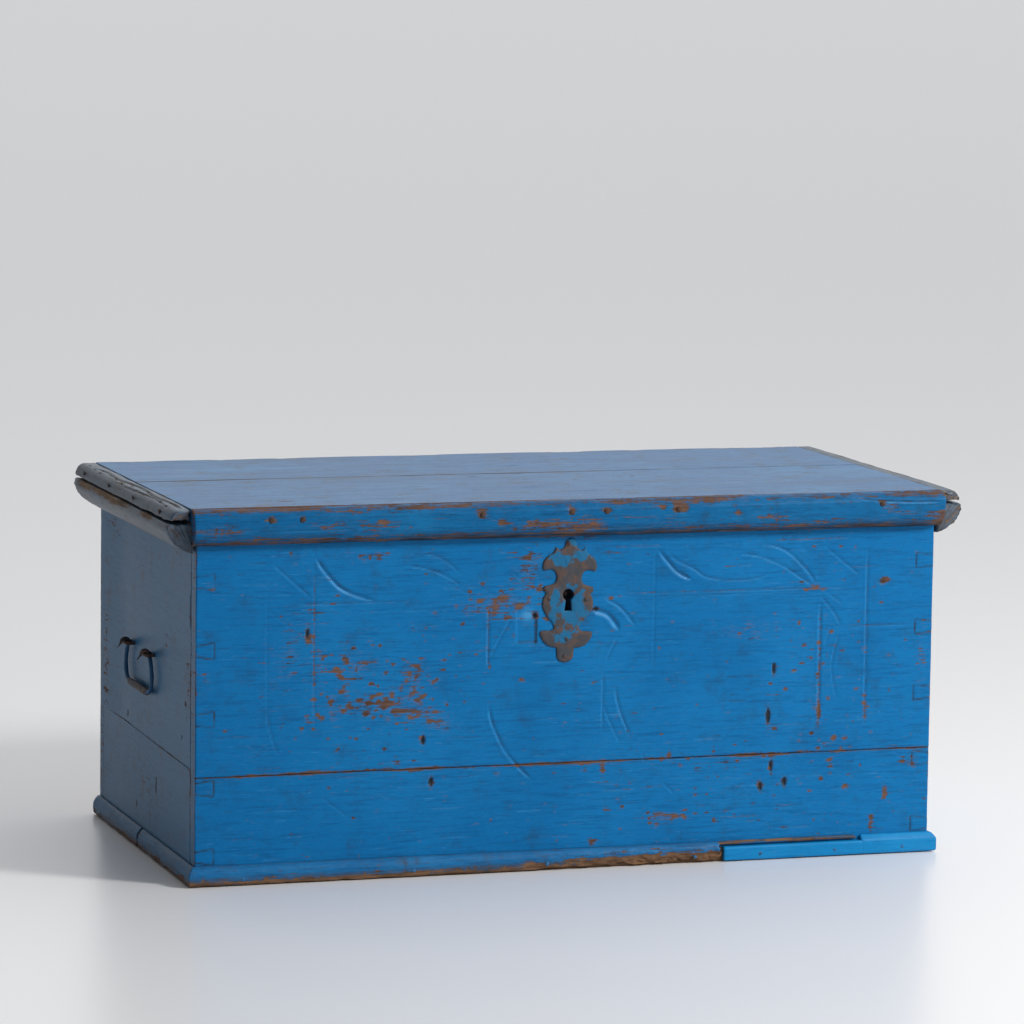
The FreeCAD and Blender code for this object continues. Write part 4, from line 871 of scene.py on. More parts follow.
def scattered_chips(marks, seed, count, low, high):
    """Small knocks spread over the face, each a little wider than tall."""
    random = np.random.default_rng(seed)
    for number in range(count):
        a, b = random.uniform(left, right), random.uniform(low, high)
        marks.patch(a, b, random.uniform(1.5, 5), random.uniform(1.2, 3.2),
                    random.uniform(0.2, 0.62), seed + number)
    for number in range(count // 3):
        a, b = random.uniform(left, right - 60), random.uniform(low, high)
        run = random.uniform(12, 70)
        marks.stroke([(a, b), (a + run / 2, b + random.uniform(-1, 1)), (a + run, b)], 2.2,
                     random.uniform(0.3, 0.7), random.uniform(0.1, 0.35),
                     random.choice([-0.2, 0.45]))


def chip_cloud(marks, centre, spread, count, seed):
    """Many small chips crowded about a centre, thinning out as a normal curve does."""
    random = np.random.default_rng(seed)
    for number in range(count):
        a, b = random.normal(centre[0], spread[0]), random.normal(centre[1], spread[1])
        size = random.uniform(1.3, 3.6)
        marks.patch(a, b, size * random.uniform(1, 1.8), size, random.uniform(0.25, 0.75),
                    seed + number)


def front_marks(marks):
    """What both front boards carry: gouged lines, nail slits, worn patches and pin cracks."""
    for points, width, deep, wear, grime_and_shading in FRONT_STROKES:
        marks.stroke(points, width, deep, wear, grime_and_shading)
    for a, b, wide, tall in FRONT_SLITS:
        marks.slit(a, b, wide, tall)
    for number, (a, b, wide, tall, wear) in enumerate(FRONT_PATCHES):
        marks.patch(a, b, wide, tall, wear, number)
    pin_lines(marks)


def front_upper_relief(marks):
    """Waves, seam and chips, the shared marks, a sunk let-in square and the key's pocket."""
    planed_waves(marks, 5)
    seam_wear(marks)
    scattered_chips(marks, 1001, 360, seam, rim)
    chip_cloud(marks, (-285, 275), (62, 38), 150, 1601)
    chip_cloud(marks, (-380, 290), (30, 60), 40, 1801)
    chip_cloud(marks, (-105, 400), (50, 26), 34, 1901)
    chip_cloud(marks, (420, 250), (50, 70), 60, 2001)
    front_marks(marks)
    sunk = rise(-np.abs(marks.a + 72), -17, -14) * rise(-np.abs(marks.b - 366), -25, -22)
    marks.height -= 1.6 * sunk
    # painted shade along the sunk square's right and bottom edges and a painted highlight near its
    # top
    marks.grime_and_shading += 1.1 * bump(marks.a + 57, 1.8) * rise(-np.abs(marks.b - 362), -24, -20)
    marks.grime_and_shading += 0.8 * bump(marks.b - 343, 1.5) * rise(-np.abs(marks.a + 71), -16, -12)
    marks.grime_and_shading -= 0.9 * bump(np.hypot((marks.a + 70) / 12, (marks.b - 383) / 10), 0.8)
    keyhole_pocket(marks)


def front_lower_relief(marks):
    """Waves, seam and chips under the shared marks."""
    planed_waves(marks, 31)
    seam_wear(marks)
    scattered_chips(marks, 1201, 170, floor_level, seam)
    chip_cloud(marks, (140, 76), (60, 12), 24, 2101)
    chip_cloud(marks, (430, 120), (60, 40), 30, 2201)
    front_marks(marks)


def end_grain_cracks(b, deep):
    """On the ends of a front or back board: cracks above and below each pin, and checks."""
    off = np.abs(b[:, None] - PIN_CENTRES).min(1)
    crack = bump(off - PIN_TIP, 1.4)
    return 0.9 * crack + 0.5 * np.clip(rough(b / 3.5, deep / 22, 88, 3), 0, 1)


def level_at(height):
    """An edge that stays at one height."""
    return lambda a: np.full(np.shape(a), float(height))


front_origin = np.array([left, front, 0.0])
board("front_upper", front_origin, X, Z, length, level_at(seam), level_at(rim), wall, 2.3,
      front_upper_relief, "carcass", [front_finish, pine_x, side_finish],
      ["front_upper_board"], arris=1.5, seed=2, end_relief=end_grain_cracks, rings=6,
      offset=(left, 0))
board("front_lower", front_origin, X, Z, length, level_at(floor_level), level_at(seam), wall,
      2.3, front_lower_relief, "carcass", [front_finish, pine_x, side_finish],
      ["front_lower_board"], arris=1.5, seed=12, end_relief=end_grain_cracks, rings=6,
      offset=(left, 0))


# ------------------------------------------------------------------ side and back boards

side_span = depth - 2 * wall
seam_front = reach("left_upper_board")[0][2]
seam_back = reach("left_lower_board")[1][2]
LEAN = 5.5


middle_y = (front + back) / 2


def side_relief(side, upper, seed):
    """Grain along y, small dents and nail holes; the upper left board leans out at the back."""
    def relief(marks):
        y = back_inner - marks.a if side == "left" else front_inner + marks.a
        z = marks.b
        marks.height += 0.45 * rough(y / 220, z / 60, seed, 3)
        marks.height += 0.2 * rough(y / 60, z / 6, seed + 5, 3)
        at = Surface(y, z)
        for place_y, place_z, wide, tall in ((-60, 108, 2.6, 11), (-235, 262, 3, 3),
                                             (-215, 208, 3, 3), (120, 190, 3, 4),
                                             (60, 60, 2.4, 4), (-262, 400, 2, 30)):
            at.slit(place_y, place_z, wide, tall, 2.5)
        for number, (place_y, place_z, wide, tall, wear) in enumerate((
                (-180, 470, 60, 26, 0.3), (60, 430, 90, 40, 0.2), (200, 470, 50, 25, 0.3),
                (-120, 330, 60, 40, 0.2), (-250, 300, 20, 90, 0.35), (120, 300, 60, 50, 0.15),
                (0, 100, 90, 30, 0.14), (-265, 120, 12, 60, 0.35), (250, 250, 16, 120, 0.3))):
            at.patch(place_y, place_z, wide, tall, wear, seed + number)
        marks.height += at.height
        marks.wear += at.wear
        marks.grime_and_shading += at.grime_and_shading
        if side == "left" and upper:
            marks.height += LEAN * rise(y, middle_y + 120, back)
    return relief


def seam_line(side):
    """The side boards meet on a line that climbs towards the back."""
    def height(a):
        share = a / side_span if side == "right" else 1 - a / side_span
        return seam_front + (seam_back - seam_front) * share
    return height


SIDES = {"left": (np.array([left, back_inner, 0.0]), -Y),
         "right": (np.array([right, front_inner, 0.0]), Y)}
for side, (origin, across) in SIDES.items():
    seed = 50 if side == "left" else 70
    board(f"{side}_upper", origin, across, Z, side_span, seam_line(side), level_at(rim), wall,
          3.0, side_relief(side, True, seed), "carcass", [side_finish, pine_y],
          [f"{side}_upper_board"], arris=1.4, seed=seed)
    board(f"{side}_lower", origin, across, Z, side_span, level_at(floor_level),
          seam_line(side), wall, 3.0, side_relief(side, False, seed + 8), "carcass",
          [side_finish, pine_y], [f"{side}_lower_board"], arris=1.4,
          seed=seed + 8)


def back_relief(upper):
    """Planed boards with pin cracks; the upper one is notched for the hinges."""
    def relief(marks):
        planed_waves(marks, 91 if upper else 95, 0.6)
        pin_lines(marks)
        for number, (a, b, wide, tall, wear) in enumerate((
                (-300, 300, 160, 60, 0.2), (200, 400, 200, 60, 0.2), (350, 240, 120, 40, 0.25),
                (0, 90, 300, 25, 0.25), (-480, 80, 60, 40, 0.3))):
            marks.patch(a, b, wide, tall, wear, 100 + number)
        if upper:
            for side in (-1, 1):
                low, high = reach("hinge_strap_left" if side < 0 else "hinge_strap_right")
                notch = rise(-np.abs(marks.a + (low[0] + high[0]) / 2), -22.5, -21.5)
                marks.height -= 6 * notch * rise(marks.b, rim - 4.2, rim - 3.4)
    return relief


back_origin = np.array([right, back, 0.0])
for label, low, high, upper in (("upper", seam, rim, True), ("lower", floor_level, seam, False)):
    board(f"back_{label}", back_origin, -X, Z, length, level_at(low), level_at(high), wall, 3.4,
          back_relief(upper), "carcass", [pine_x, pine_x, side_finish],
          [f"back_{label}_board"], arris=1.6, seed=90 if upper else 96,
          end_relief=end_grain_cracks, rings=6, offset=(-right, 0))


# ------------------------------------------------------------------ lid

lid_low, lid_high = reach("lid_front_board")
lid_left, lid_right, lid_front, lid_seam = lid_low[0], lid_high[0], lid_low[1], lid_high[1]
lid_length, lid_thick = lid_right - lid_left, lid_high[2] - lid_low[2]


def lid_relief(seed):
    """Boards that cup a little, with open grain, knocks and a worn, stained front edge."""
    def relief(marks):
        marks.height -= 0.7 + 0.5 * rough(marks.a / 300, marks.b / 120, seed, 3)
        marks.height += 0.3 * rough(marks.a / 90, marks.b / 8, seed + 3, 3)
        random = np.random.default_rng(seed)
        for number in range(26):
            a, b = random.uniform(lid_left + 20, lid_right - 20), random.uniform(lid_front, back)
            run = random.uniform(15, 70)
            marks.stroke([(a, b), (a + run, b + random.uniform(-3, 3))], 2.6,
                         random.uniform(0.4, 1.0), 0.12, 0.35)
        for number in range(30):
            a, b = random.uniform(lid_left + 20, lid_right - 20), random.uniform(lid_front, back)
            marks.patch(a, b, random.uniform(6, 30), random.uniform(2, 6), 0.5, seed + number)
        for number in range(26):
            a, b = random.uniform(lid_left, lid_right), random.uniform(lid_front, back)
            marks.patch(a, b, random.uniform(50, 160), random.uniform(4, 22), 0.0, seed + number,
                        0.0, random.uniform(-0.3, 0.4))
        for number in range(9):
            a = random.uniform(lid_left + 40, lid_right - 40)
            marks.patch(a, back - 3, random.uniform(12, 40), 4, 0.5, seed + number, 0.8, 0.9)
        marks.grime_and_shading += 1.1 * bump(marks.b - lid_seam, 2.6) * rise(-marks.a, -260, 40)
        marks.grime_and_shading += 0.45 * bump(marks.b - lid_seam, 1.8)
        marks.height = np.minimum(marks.height, -0.1)
        marks.wear += 0.3 * np.exp(-(marks.b - lid_front) / 10)
        back_marks = np.exp(-(back - marks.b) / 5)
        marks.wear += 0.35 * back_marks
        marks.grime_and_shading += 0.5 * back_marks * np.clip(rough(marks.a / 40, marks.b * 0, seed), 0, 1)
    return relief


lid_origin = np.array([lid_left, 0.0, lid_top])
board("lid_front", lid_origin, X, Y, lid_length, level_at(lid_front), level_at(lid_seam),
      lid_thick, 3.0, lid_relief(201), "lid", [lid_finish, pine_x],
      ["lid_front_board"], arris=1.3, seed=200, offset=(lid_left, 0))
board("lid_back", lid_origin, X, Y, lid_length, level_at(lid_seam), level_at(back), lid_thick,
      3.0, lid_relief(231), "lid", [lid_finish, pine_x], ["lid_back_board"],
      arris=1.3, seed=230, offset=(lid_left, 0))

rail_low, rail_high = reach("lid_front_moulding")
rail_tall, rail_out = rail_high[2] - rail_low[2], rail_high[1] - rail_low[1]


def rail_relief(marks):
    """A hand-worked nose: waves along it, a worn top arris, knocks, nail dents, and painted shade
    on its lower part and bottom edge.
    """
    x = marks.a + lid_left
    marks.height += 0.6 * rough(x / 120, marks.b / 30, 301, 3) - 0.5
    marks.height += 0.25 * rough(x / 30, marks.b / 4, 305, 3)
    top = bump(marks.b - (rail_tall - 3), 6)
    marks.wear += top * (0.32 + 0.4 * rough(x / 70, marks.b / 9, 310, 4))
    marks.height -= top * 1.6 * np.clip(rough(x / 45, marks.b / 12, 311, 3), 0, 1)
    marks.wear += 0.6 * bump(marks.b - 6, 8) * np.clip(0.5 + rough(x / 50, marks.b, 320, 3), 0, 1)
    marks.wear += 0.62 * bump(marks.b - 24, 9) * np.clip(
        0.25 + 1.3 * rough(x / 75, marks.b / 12, 330, 4), 0, 1)
    # painted shade: the lower, downward-turned part of the nose is darkened
    marks.grime_and_shading += 0.85 * rise(-marks.b, -20, -4) * np.clip(
        0.7 + rough(x / 60, marks.b / 9, 340, 3), 0, 1)
    at = Surface(x, marks.b)
    for place, drop, size in ((-468, 17, 6), (-422, 15, 5), (-150, 14, 9), (-11, 13, 7),
                              (43, 15, 6), (130, 12, 5), (155, 14, 9), (165, 16, 6),
                              (480, 15, 6), (-300, 24, 5), (-120, 30, 6), (250, 25, 6)):
        at.patch(place, rail_tall - drop, size, size * 0.8, 0.7, int(place), 0.9, 0.4)
    at.stroke([(430, rail_tall - 6), (500, rail_tall - 14), (584, rail_tall - 16)], 3.2, 2.2,
              0.2, 0.9)
    at.stroke([(-60, 15), (40, 13), (160, 16)], 2.4, 0.8, 0.1, 0.5)
    at.stroke([(-540, 25), (-430, 22), (-300, 24)], 2.2, 0.7, 0.1, 0.4)
    at.patch(492, rail_tall - 22, 12, 5, 1.0, 7, 1.2)
    marks.height += at.height - 3.5 * bump(x - lid_right, 14) * bump(marks.b - 8, 12)
    marks.wear += at.wear + 0.6 * bump(x - lid_right, 16) * bump(marks.b - 8, 14)
    # painted shade along the bottom edge of the nose
    marks.grime_and_shading += at.grime_and_shading + 0.7 * bump(marks.b - 1, 4)


rail_outline = np.vstack([
    [(0, 0), (4, 0.5)],
    arc((6, 1), (rail_out, rail_tall * 0.36), 3.5),
    arc((rail_out, rail_tall * 0.77), (3, rail_tall - 0.3), 3.4),
    [(0, rail_tall - 0.6)],
])
moulding("lid_front_rail", rail_outline, np.array([lid_left, lid_front, rail_low[2]]), X, -Y,
         lid_length, 2.6, "lid", rail_finish, ["lid_front_moulding"],
         rail_relief, seed=3)


def end_cap_relief(side):
    """Rounded end strip: a split along it, knocks on the nose and a rounded-off front end."""
    def relief(marks):
        marks.height += 0.8 * rough(marks.a / 90, marks.b / 12, 401, 3)
        marks.height += 0.4 * rough(marks.a / 22, marks.b / 4 + marks.u / 9, 405, 3)
        marks.wear += 0.1 + 0.3 * rough(marks.a / 60, marks.b / 8 + marks.u / 14, 410, 4)
        top = rise(marks.b, 12, 17)
        at = Surface(marks.a, marks.u)
        if side == "left":
            for number in range(12):
                at.slit(60 + 46 * number, 24 - 3 * (number % 3), 7, 1.3, 1.6, 0.25, 0.0)
            at.stroke([(560, 20), (470, 14), (380, 17), (270, 9), (160, 15), (60, 10), (8, 14)],
                      3.6, 4.0, 0.3, 1.4)
            at.stroke([(330, 26), (240, 24), (150, 21), (60, 24)], 2.8, 2.6, 0.3, 1.0)
        else:
            for number in range(6):
                at.slit(60 + 88 * number, 26 - (number % 2) * 2, 8, 1.6, 1.4, 0.2, 0.0)
            at.stroke([(500, 16), (320, 21), (120, 14)], 2.6, 1.8, 0.2, 0.8)
        marks.height += at.height * top - 1.3
        marks.height -= 3.0 * rise(-marks.b, -6, -1) * np.exp(-marks.a / 240) * np.clip(
            0.4 + rough(marks.a / 45, marks.a * 0, 415, 3), 0, 1.2)
        marks.wear += at.wear * top
        marks.grime_and_shading += at.grime_and_shading * top + 0.6 * bump(marks.b, 3) + 0.4 * bump(marks.u, 3)
        worn_end = np.exp(-marks.a / 9)
        marks.height -= worn_end * (2.2 + 1.8 * rough(marks.u / 8, marks.b / 7, 420, 3))
        marks.height = np.minimum(marks.height, -0.2)
        marks.wear += 0.05 * worn_end
    return relief


def cleat_relief(marks):
    """The strip under the lid's end: fretted lower edge, worn outer arris, chipped ends."""
    marks.height += 0.9 * rough(marks.a / 110, marks.b / 20, 451, 3) - 0.5
    marks.height += 0.4 * rough(marks.a / 25, marks.b / 5 + marks.u / 8, 455, 3)
    marks.wear += 0.05 + 0.25 * rough(marks.a / 70, marks.b / 10 + marks.u / 12, 460, 4)
    arris = bump(marks.b - cleat_tall + 3, 6) * rise(marks.u, 30, 40)
    marks.wear += 0.9 * arris * np.clip(rough(marks.a / 60, marks.a * 0, 470) + 0.6, 0, 1)
    marks.height -= 1.8 * arris * np.clip(rough(marks.a / 35, marks.a * 0, 471), 0, 1)
    chipped = np.exp(-np.minimum(marks.a, cleat_span - marks.a) / 10)
    marks.height -= 1.6 * chipped * (1 + rough(marks.u / 9, marks.b / 9, 480, 3))
    marks.wear += 0.05 * chipped
    marks.grime_and_shading += 0.5 * bump(marks.b, 5)


cap_low, cap_high = reach("left_end_cap")
cleat_low, cleat_high = reach("left_end_cleat")
cap_wide, cap_tall, cap_span = cap_high[0] - cap_low[0], cap_high[2] - cap_low[2], \
    cap_high[1] - cap_low[1]
cleat_wide, cleat_tall = cleat_high[0] - cleat_low[0], cleat_high[2] - cleat_low[2]
cleat_span = cleat_high[1] - cleat_low[1]
cap_outline = np.vstack([
    [(0, 0), (cap_wide - 1, -0.6), (cap_wide, 0.6)],
    arc((cap_wide, 5), (cap_wide - 13, cap_tall), 3.2),
    [(12, cap_tall), (0, cap_tall - 0.3)],
])
cleat_outline = np.vstack([
    [(0, 0), (3, 0)], arc((5, 0.5), (cleat_wide, cleat_tall - 12), 6.5),
    [(cleat_wide, cleat_tall - 3), (cleat_wide - 1.5, cleat_tall + 0.4), (0, cleat_tall)]])
for side, sign, edge in (("left", -1, lid_left), ("right", 1, lid_right)):
    moulding(f"{side}_lid_cap", cap_outline, np.array([edge, cap_low[1], cap_low[2]]), Y,
             sign * X, cap_span, 2.6, "lid", end_finish, [f"{side}_end_cap"],
             end_cap_relief(side), seed=4 if side == "left" else 5, jag=(2, 1))
    inner_x = cleat_high[0] if side == "left" else -cleat_high[0]
    moulding(f"{side}_lid_cleat", cleat_outline, np.array([inner_x, cleat_low[1], cleat_low[2]]),
             Y, sign * X, cleat_span, 3.0, "lid", end_finish,
             [f"{side}_end_cleat"], cleat_relief, jag=(3, 5), seed=6)


# ------------------------------------------------------------------ foot moulding

foot_low, foot_high = reach("front_base_moulding")
foot_out, foot_tall, foot_floor = foot_high[1] - foot_low[1], foot_high[2] - foot_low[2], \
    foot_low[2]
break_x = reach("front_base_repair")[0][0] - 2
strip_x = foot_high[0]
foot_outline = np.vstack([
    [(0, 0), (foot_out - 1, 0), (foot_out, 1.5)],
    arc((foot_out, foot_tall * 0.42), (3.0, foot_tall - 0.8), 2.2),
    [(0, foot_tall)],
])
mended_outline = [(0, 0), (foot_out - 0.5, 0), (foot_out, 0.6), (foot_out, foot_tall * 0.7),
                  (4.2, foot_tall - 0.2), (0, foot_tall)]


def foot_relief(seed, rotten_from=None, rotten_to=None):
    """Worn lower edge rubbed to the wood, knocks, rot towards a broken end, and painted shade
    along the floor line.
    """
    def relief(marks):
        marks.height += 0.5 * rough(marks.a / 80, marks.b / 15, seed, 3)
        marks.height += 0.3 * rough(marks.a / 18, marks.b / 3.5, seed + 4, 3)
        low_edge = bump(marks.b, 9)
        marks.wear += low_edge * (0.7 + 0.5 * rough(marks.a / 45, marks.b / 8, seed + 9, 4))
        marks.grime_and_shading += 0.75 * rise(-marks.b, -17, -7) * np.clip(
            0.6 + 0.8 * rough(marks.a / 60, marks.b / 9, seed + 13, 3), 0, 1)
        marks.height -= 1.6 * low_edge * np.clip(rough(marks.a / 26, marks.b / 9, seed + 12, 3),
                                                 0, 1)
        # painted shade along the floor line, and a darker line along the top joint
        marks.grime_and_shading += 0.7 * bump(marks.b, 2.5) + 0.5 * bump(marks.b - foot_tall, 2)
        if rotten_from is not None:
            rot = rise(marks.a, rotten_from, rotten_to)
            rot = rot * np.clip(0.75 + 0.9 * rough(marks.a / 16, marks.b / 6, seed + 20, 4),
                                0, 1.4) * bump(marks.b - 3, 13)
            marks.height -= 5.5 * rot
            marks.wear += 1.1 * rot
            marks.grime_and_shading += 0.75 * rot * np.clip(rough(marks.a / 9, marks.b / 4, seed + 30, 3)
                                                + 0.5, 0, 1)
    return relief


def strip_relief(marks):
    """The split strip, worn all along and dirty above."""
    marks.height += 0.4 * rough(marks.a / 40, marks.b / 5, 555, 3)
    marks.wear += 0.35 + 0.3 * rough(marks.a / 50, marks.b / 5, 556, 3)
    marks.grime_and_shading += 0.8 * rise(marks.b, 0.5, 3)


def mended_relief(marks):
    """The newer foot piece, only lightly worn low down."""
    marks.height += 0.25 * rough(marks.a / 90, marks.b / 15, 561, 3)
    marks.wear += 0.12 * bump(marks.b, 5)


old_span = break_x - left
moulding("front_foot", foot_outline, np.array([left, front, foot_floor]), X, -Y, old_span, 2.4,
         "carcass", foot_finish, ["front_base_moulding"],
         foot_relief(501, old_span - 420, old_span - 90), slants=(-1, 0), jag=(0, 7))
strip_floor = foot_tall * 0.8
strip_outline = [(0, 0), (4.4, 0.3), (4.6, 2.2), (3.0, foot_tall - strip_floor - 0.4),
                 (0, foot_tall - strip_floor)]
moulding("foot_split_strip", strip_outline,
         np.array([break_x - 8, front, foot_floor + strip_floor]), X, -Y,
         strip_x - break_x + 4, 2.4, "carcass", foot_finish, (), strip_relief,
         jag=(4, 9), spacing=1.0)
cut_height = foot_tall * 0.72
moulding("mended_foot", [(0, 0), (foot_out - 0.5, 0), (foot_out, 0.6),
                         (foot_out, cut_height - 1.2), (foot_out - 1.2, cut_height),
                         (0, cut_height)],
         np.array([break_x + 2, front, foot_floor]), X, -Y, strip_x + 4 - break_x, 3.0,
         "carcass", mended_finish, ["front_base_repair"], mended_relief)
moulding("mended_foot_corner", mended_outline,
         np.array([strip_x + 4, front, foot_floor]), X, -Y, right - strip_x - 4, 3.0,
         "carcass", mended_finish, (), mended_relief, slants=(0, 1))
side_break_low, side_break_high = reach("left_base_front")[1][1], reach("left_base_back")[0][1]
moulding("left_foot_front", foot_outline, np.array([left, front, foot_floor]), Y, -X,
         side_break_low - front, 2.4, "carcass", foot_end_finish,
         ["left_base_front"], foot_relief(521), slants=(-1, 0), jag=(0, 5))
moulding("left_foot_back", foot_outline, np.array([left, side_break_high, foot_floor]), Y, -X,
         back - side_break_high, 2.4, "carcass", foot_end_finish,
         ["left_base_back"], foot_relief(531), jag=(5, 1))
moulding("right_foot", foot_outline, np.array([right, front, foot_floor]), Y, X, depth, 2.6,
         "carcass", foot_end_finish, ["right_base_moulding"], foot_relief(541),
         slants=(-1, 0))


# ------------------------------------------------------------------ key plate

PLATE_TILT = math.radians(2.6)
# the plate's edge from the top down, half of it: runs that meet in sharp corners
PLATE_RUNS = [
    [(0, 85), (5, 83), (8.5, 78), (9, 73)],
    [(9, 73), (12, 69), (17, 66.5), (19, 67)],
    [(19, 67), (23, 70.5), (25, 66), (28, 61)],
    [(28, 61), (35, 57), (40.5, 50), (42.5, 41)],
    [(42.5, 41), (40, 35.5)],
    [(40, 35.5), (30, 37.5), (23, 35), (19.5, 28), (20, 21), (24, 16), (33, 13)],
    [(33, 13), (38.5, 11), (38, 5), (34.5, 2)],
    [(34.5, 2), (38, -5), (39.5, -14), (37.5, -23), (31, -33), (22, -43), (19, -50)],
    [(19, -50), (25, -54), (34, -54)],
    [(34, -54), (40.5, -56), (38.5, -65), (31, -74), (22, -78), (14, -79)],
    [(14, -79), (13, -86), (12.5, -93), (8, -99), (0, -101)],
]


def plate_edge():
    """The half outline as smooth runs, then mirrored, tilted and moved to the key."""
    half = np.vstack([smooth_line(run, 5)[:-1] for run in PLATE_RUNS] + [[(0, -101)]])
    whole = np.vstack([half, (half * [-1, 1])[-2:0:-1]])
    turn = np.array([[math.cos(PLATE_TILT), math.sin(PLATE_TILT)],
                     [-math.sin(PLATE_TILT), math.cos(PLATE_TILT)]])
    return whole @ turn.T


def keyhole_edge():
    """A round joined to a slot that widens downwards."""
    start = math.radians(-62)
    angle = np.linspace(start, math.pi - start, 22)
    round_part = 8.6 * np.stack([np.cos(angle), np.sin(angle)], axis=1)
    return np.vstack([round_part, [(-4.6, -14), (-6.0, -key_drop), (6.0, -key_drop),
                                   (4.6, -14)]])


def inside(points, outline):
    """Even-odd rule: a place is inside if a ray from it crosses the outline an odd number of
    times."""
    x, y = points[:, 0][:, None], points[:, 1][:, None]
    x0, y0 = outline[:, 0], outline[:, 1]
    x1, y1 = np.roll(x0, -1), np.roll(y0, -1)
    crosses = (y0 > y) != (y1 > y)
    with np.errstate(divide="ignore", invalid="ignore"):
        at = x0 + (y - y0) / (y1 - y0) * (x1 - x0)
    return (crosses & (x < at)).sum(1) % 2 == 1


def distance_to(points, outline):
    """Distance from each place to a closed outline."""
    closed = np.vstack([outline, outline[:1]])
    signed, _ = beside(points[:, 0], points[:, 1], closed)
    return np.abs(signed)


def key_plate():
    """Sheet iron cut to the outline: a triangle net inside the edge, domed and dented by noise,
    thinned at its rim, on a back sheet; walls join the two round the edge and the keyhole."""
    edge, hole = plate_edge(), keyhole_edge()
    spacing = 1.7
    grid_x, grid_z = np.meshgrid(np.arange(-46, 46, spacing), np.arange(-104, 88, spacing))
    grid_x[1::2] += spacing / 2
    net = np.stack([grid_x.ravel(), grid_z.ravel()], axis=1)
    net = net[inside(net, edge) & ~inside(net, hole)]
    net = net[(distance_to(net, edge) > 0.9) & (distance_to(net, hole) > 0.9)]
    flat = np.vstack([edge, hole, net])
    loops = [np.arange(len(edge)), len(edge) + np.arange(len(hole))]
    limits = np.vstack([np.stack([loop, np.roll(loop, -1)], axis=1) for loop in loops])
    found = delaunay_2d_cdt([Vector(place) for place in flat], limits.tolist(), [], 0, 1e-4)
    places = np.array([tuple(place) for place in found[0]])
    triangles = np.array([face for face in found[2] if len(face) == 3])
    middle = places[triangles].mean(1)
    triangles = triangles[inside(middle, edge) & ~inside(middle, hole)]
    to_edge = np.minimum(distance_to(places, edge), distance_to(places, hole))
    dent = rough(places[:, 0] / 9, places[:, 1] / 9, 601, 3)
    lift = 1.2 + 1.1 * (1 - np.exp(-to_edge / 2.2)) + 0.45 * dent * rise(to_edge, 0, 3)
    rib = bump(np.abs(places[:, 0]) - 0.35 * (places[:, 1] - 30) + 4, 3)
    rib *= rise(places[:, 1], 36, 44)
    lift += 0.5 * rib * rise(to_edge, 0, 3)
    lift = np.minimum(lift, 2.9)
    x, z = places[:, 0] + key_x, places[:, 1] + key_z
    count = len(places)
    points = np.vstack([np.stack([x, front - lift, z], axis=1),
                        np.stack([x, np.full(count, front + 0.8), z], axis=1)])
    sides = np.sort(np.vstack([triangles[:, [0, 1]], triangles[:, [1, 2]],
                               triangles[:, [2, 0]]]), axis=1)
    directed = np.vstack([triangles[:, [0, 1]], triangles[:, [1, 2]], triangles[:, [2, 0]]])
    _, first, seen = np.unique(sides, axis=0, return_index=True, return_counts=True)
    rims = directed[first[seen == 1]]
    walls = np.stack([rims[:, 1], rims[:, 0], rims[:, 0] + count, rims[:, 1] + count], axis=1)
    faces = [triangles, triangles[:, ::-1] + count, walls]
    up, across = places[:, 1], places[:, 0]
    wear = 0.3 * np.exp(-to_edge / 3.0) + 0.4 * rough(across / 14, up / 14, 611)
    wear += (0.55 * rise(up, 8, 22) * rise(-up, -50, -38)
             + 0.45 * bump(np.hypot(across, up - 70), 9))
    wear += 0.5 * rise(up, 34, 42) * rise(-up, -56, -48) * rise(np.abs(across), 18, 30)
    wear += 0.5 * rise(np.abs(across), 24, 32) * rise(-np.abs(up + 2), -30, -16)
    wear += 0.5 * rise(-up, 58, 72) + 0.4 * rise(-up, 46, 56) * rise(np.abs(across), 14, 24)
    wear -= 0.45 * bump(np.hypot(across / 20, (up + 28) / 24), 1.0)
    wear -= 0.4 * bump(np.hypot((np.abs(across) - 20) / 9, (up - 58) / 6), 1.0)
    add_piece("key_plate", points, faces, "carcass", [plate_finish],
              ["escutcheon"], {"wear": np.concatenate([wear, wear])}, flat=1)


key_plate()


# ------------------------------------------------------------------ nails

def face_nails(name, places, radius, high, seed, body, finish, nodes):
    """A group of nail heads as one piece."""
    points, faces = nail_heads(places, radius, high, seed)
    add_piece(name, points, faces, body, [finish], nodes)


plate_places = [(0, 76), (-29, -6), (27, -8), (-3, -66), (-5, -92)]
face_nails("key_plate_nails",
           [((key_x + across, front - 2.1, key_z + up), -Y) for across, up in plate_places],
           3.4, 1.0, 701, "carcass", plate_nail, ["escutcheon_nails"])
half = length / 2
rail_face = lid_front - rail_out
face_nails("lid_rail_nails",
           [((half * share, rail_face + 0.3, lid_top - 17), -Y)
            for share in (-0.815, -0.735, -0.26, -0.02, 0.075, 0.27, 0.835)],
           4.2, 0.9, 711, "lid", dark_iron, ["lid_moulding_nails"])
face_nails("lid_end_nails",
           [((sign * (lid_right + cap_wide - 1.6), front + depth * share,
              lid_top - cap_tall / 2), sign * X)
            for sign in (-1, 1) for share in (0.1, 0.37, 0.63, 0.9)],
           4.0, 0.9, 721, "lid", dark_iron, ["lid_end_nails"])
foot_nail_height = foot_floor + 9
foot_nails = [((x, front - foot_out + 0.2, foot_nail_height), -Y)
              for x in (left + 70, left + 330, key_x - 30, break_x - 45, break_x + 60,
                        strip_x - 40, right - 45)]
foot_nails += [((left - foot_out + 0.2, y, foot_nail_height), -X)
               for y in (front + 60, middle_y - 42, middle_y + 58, back - 50)]
foot_nails += [((right + foot_out - 0.2, y, foot_nail_height), X)
               for y in (front + 60, middle_y, back - 50)]
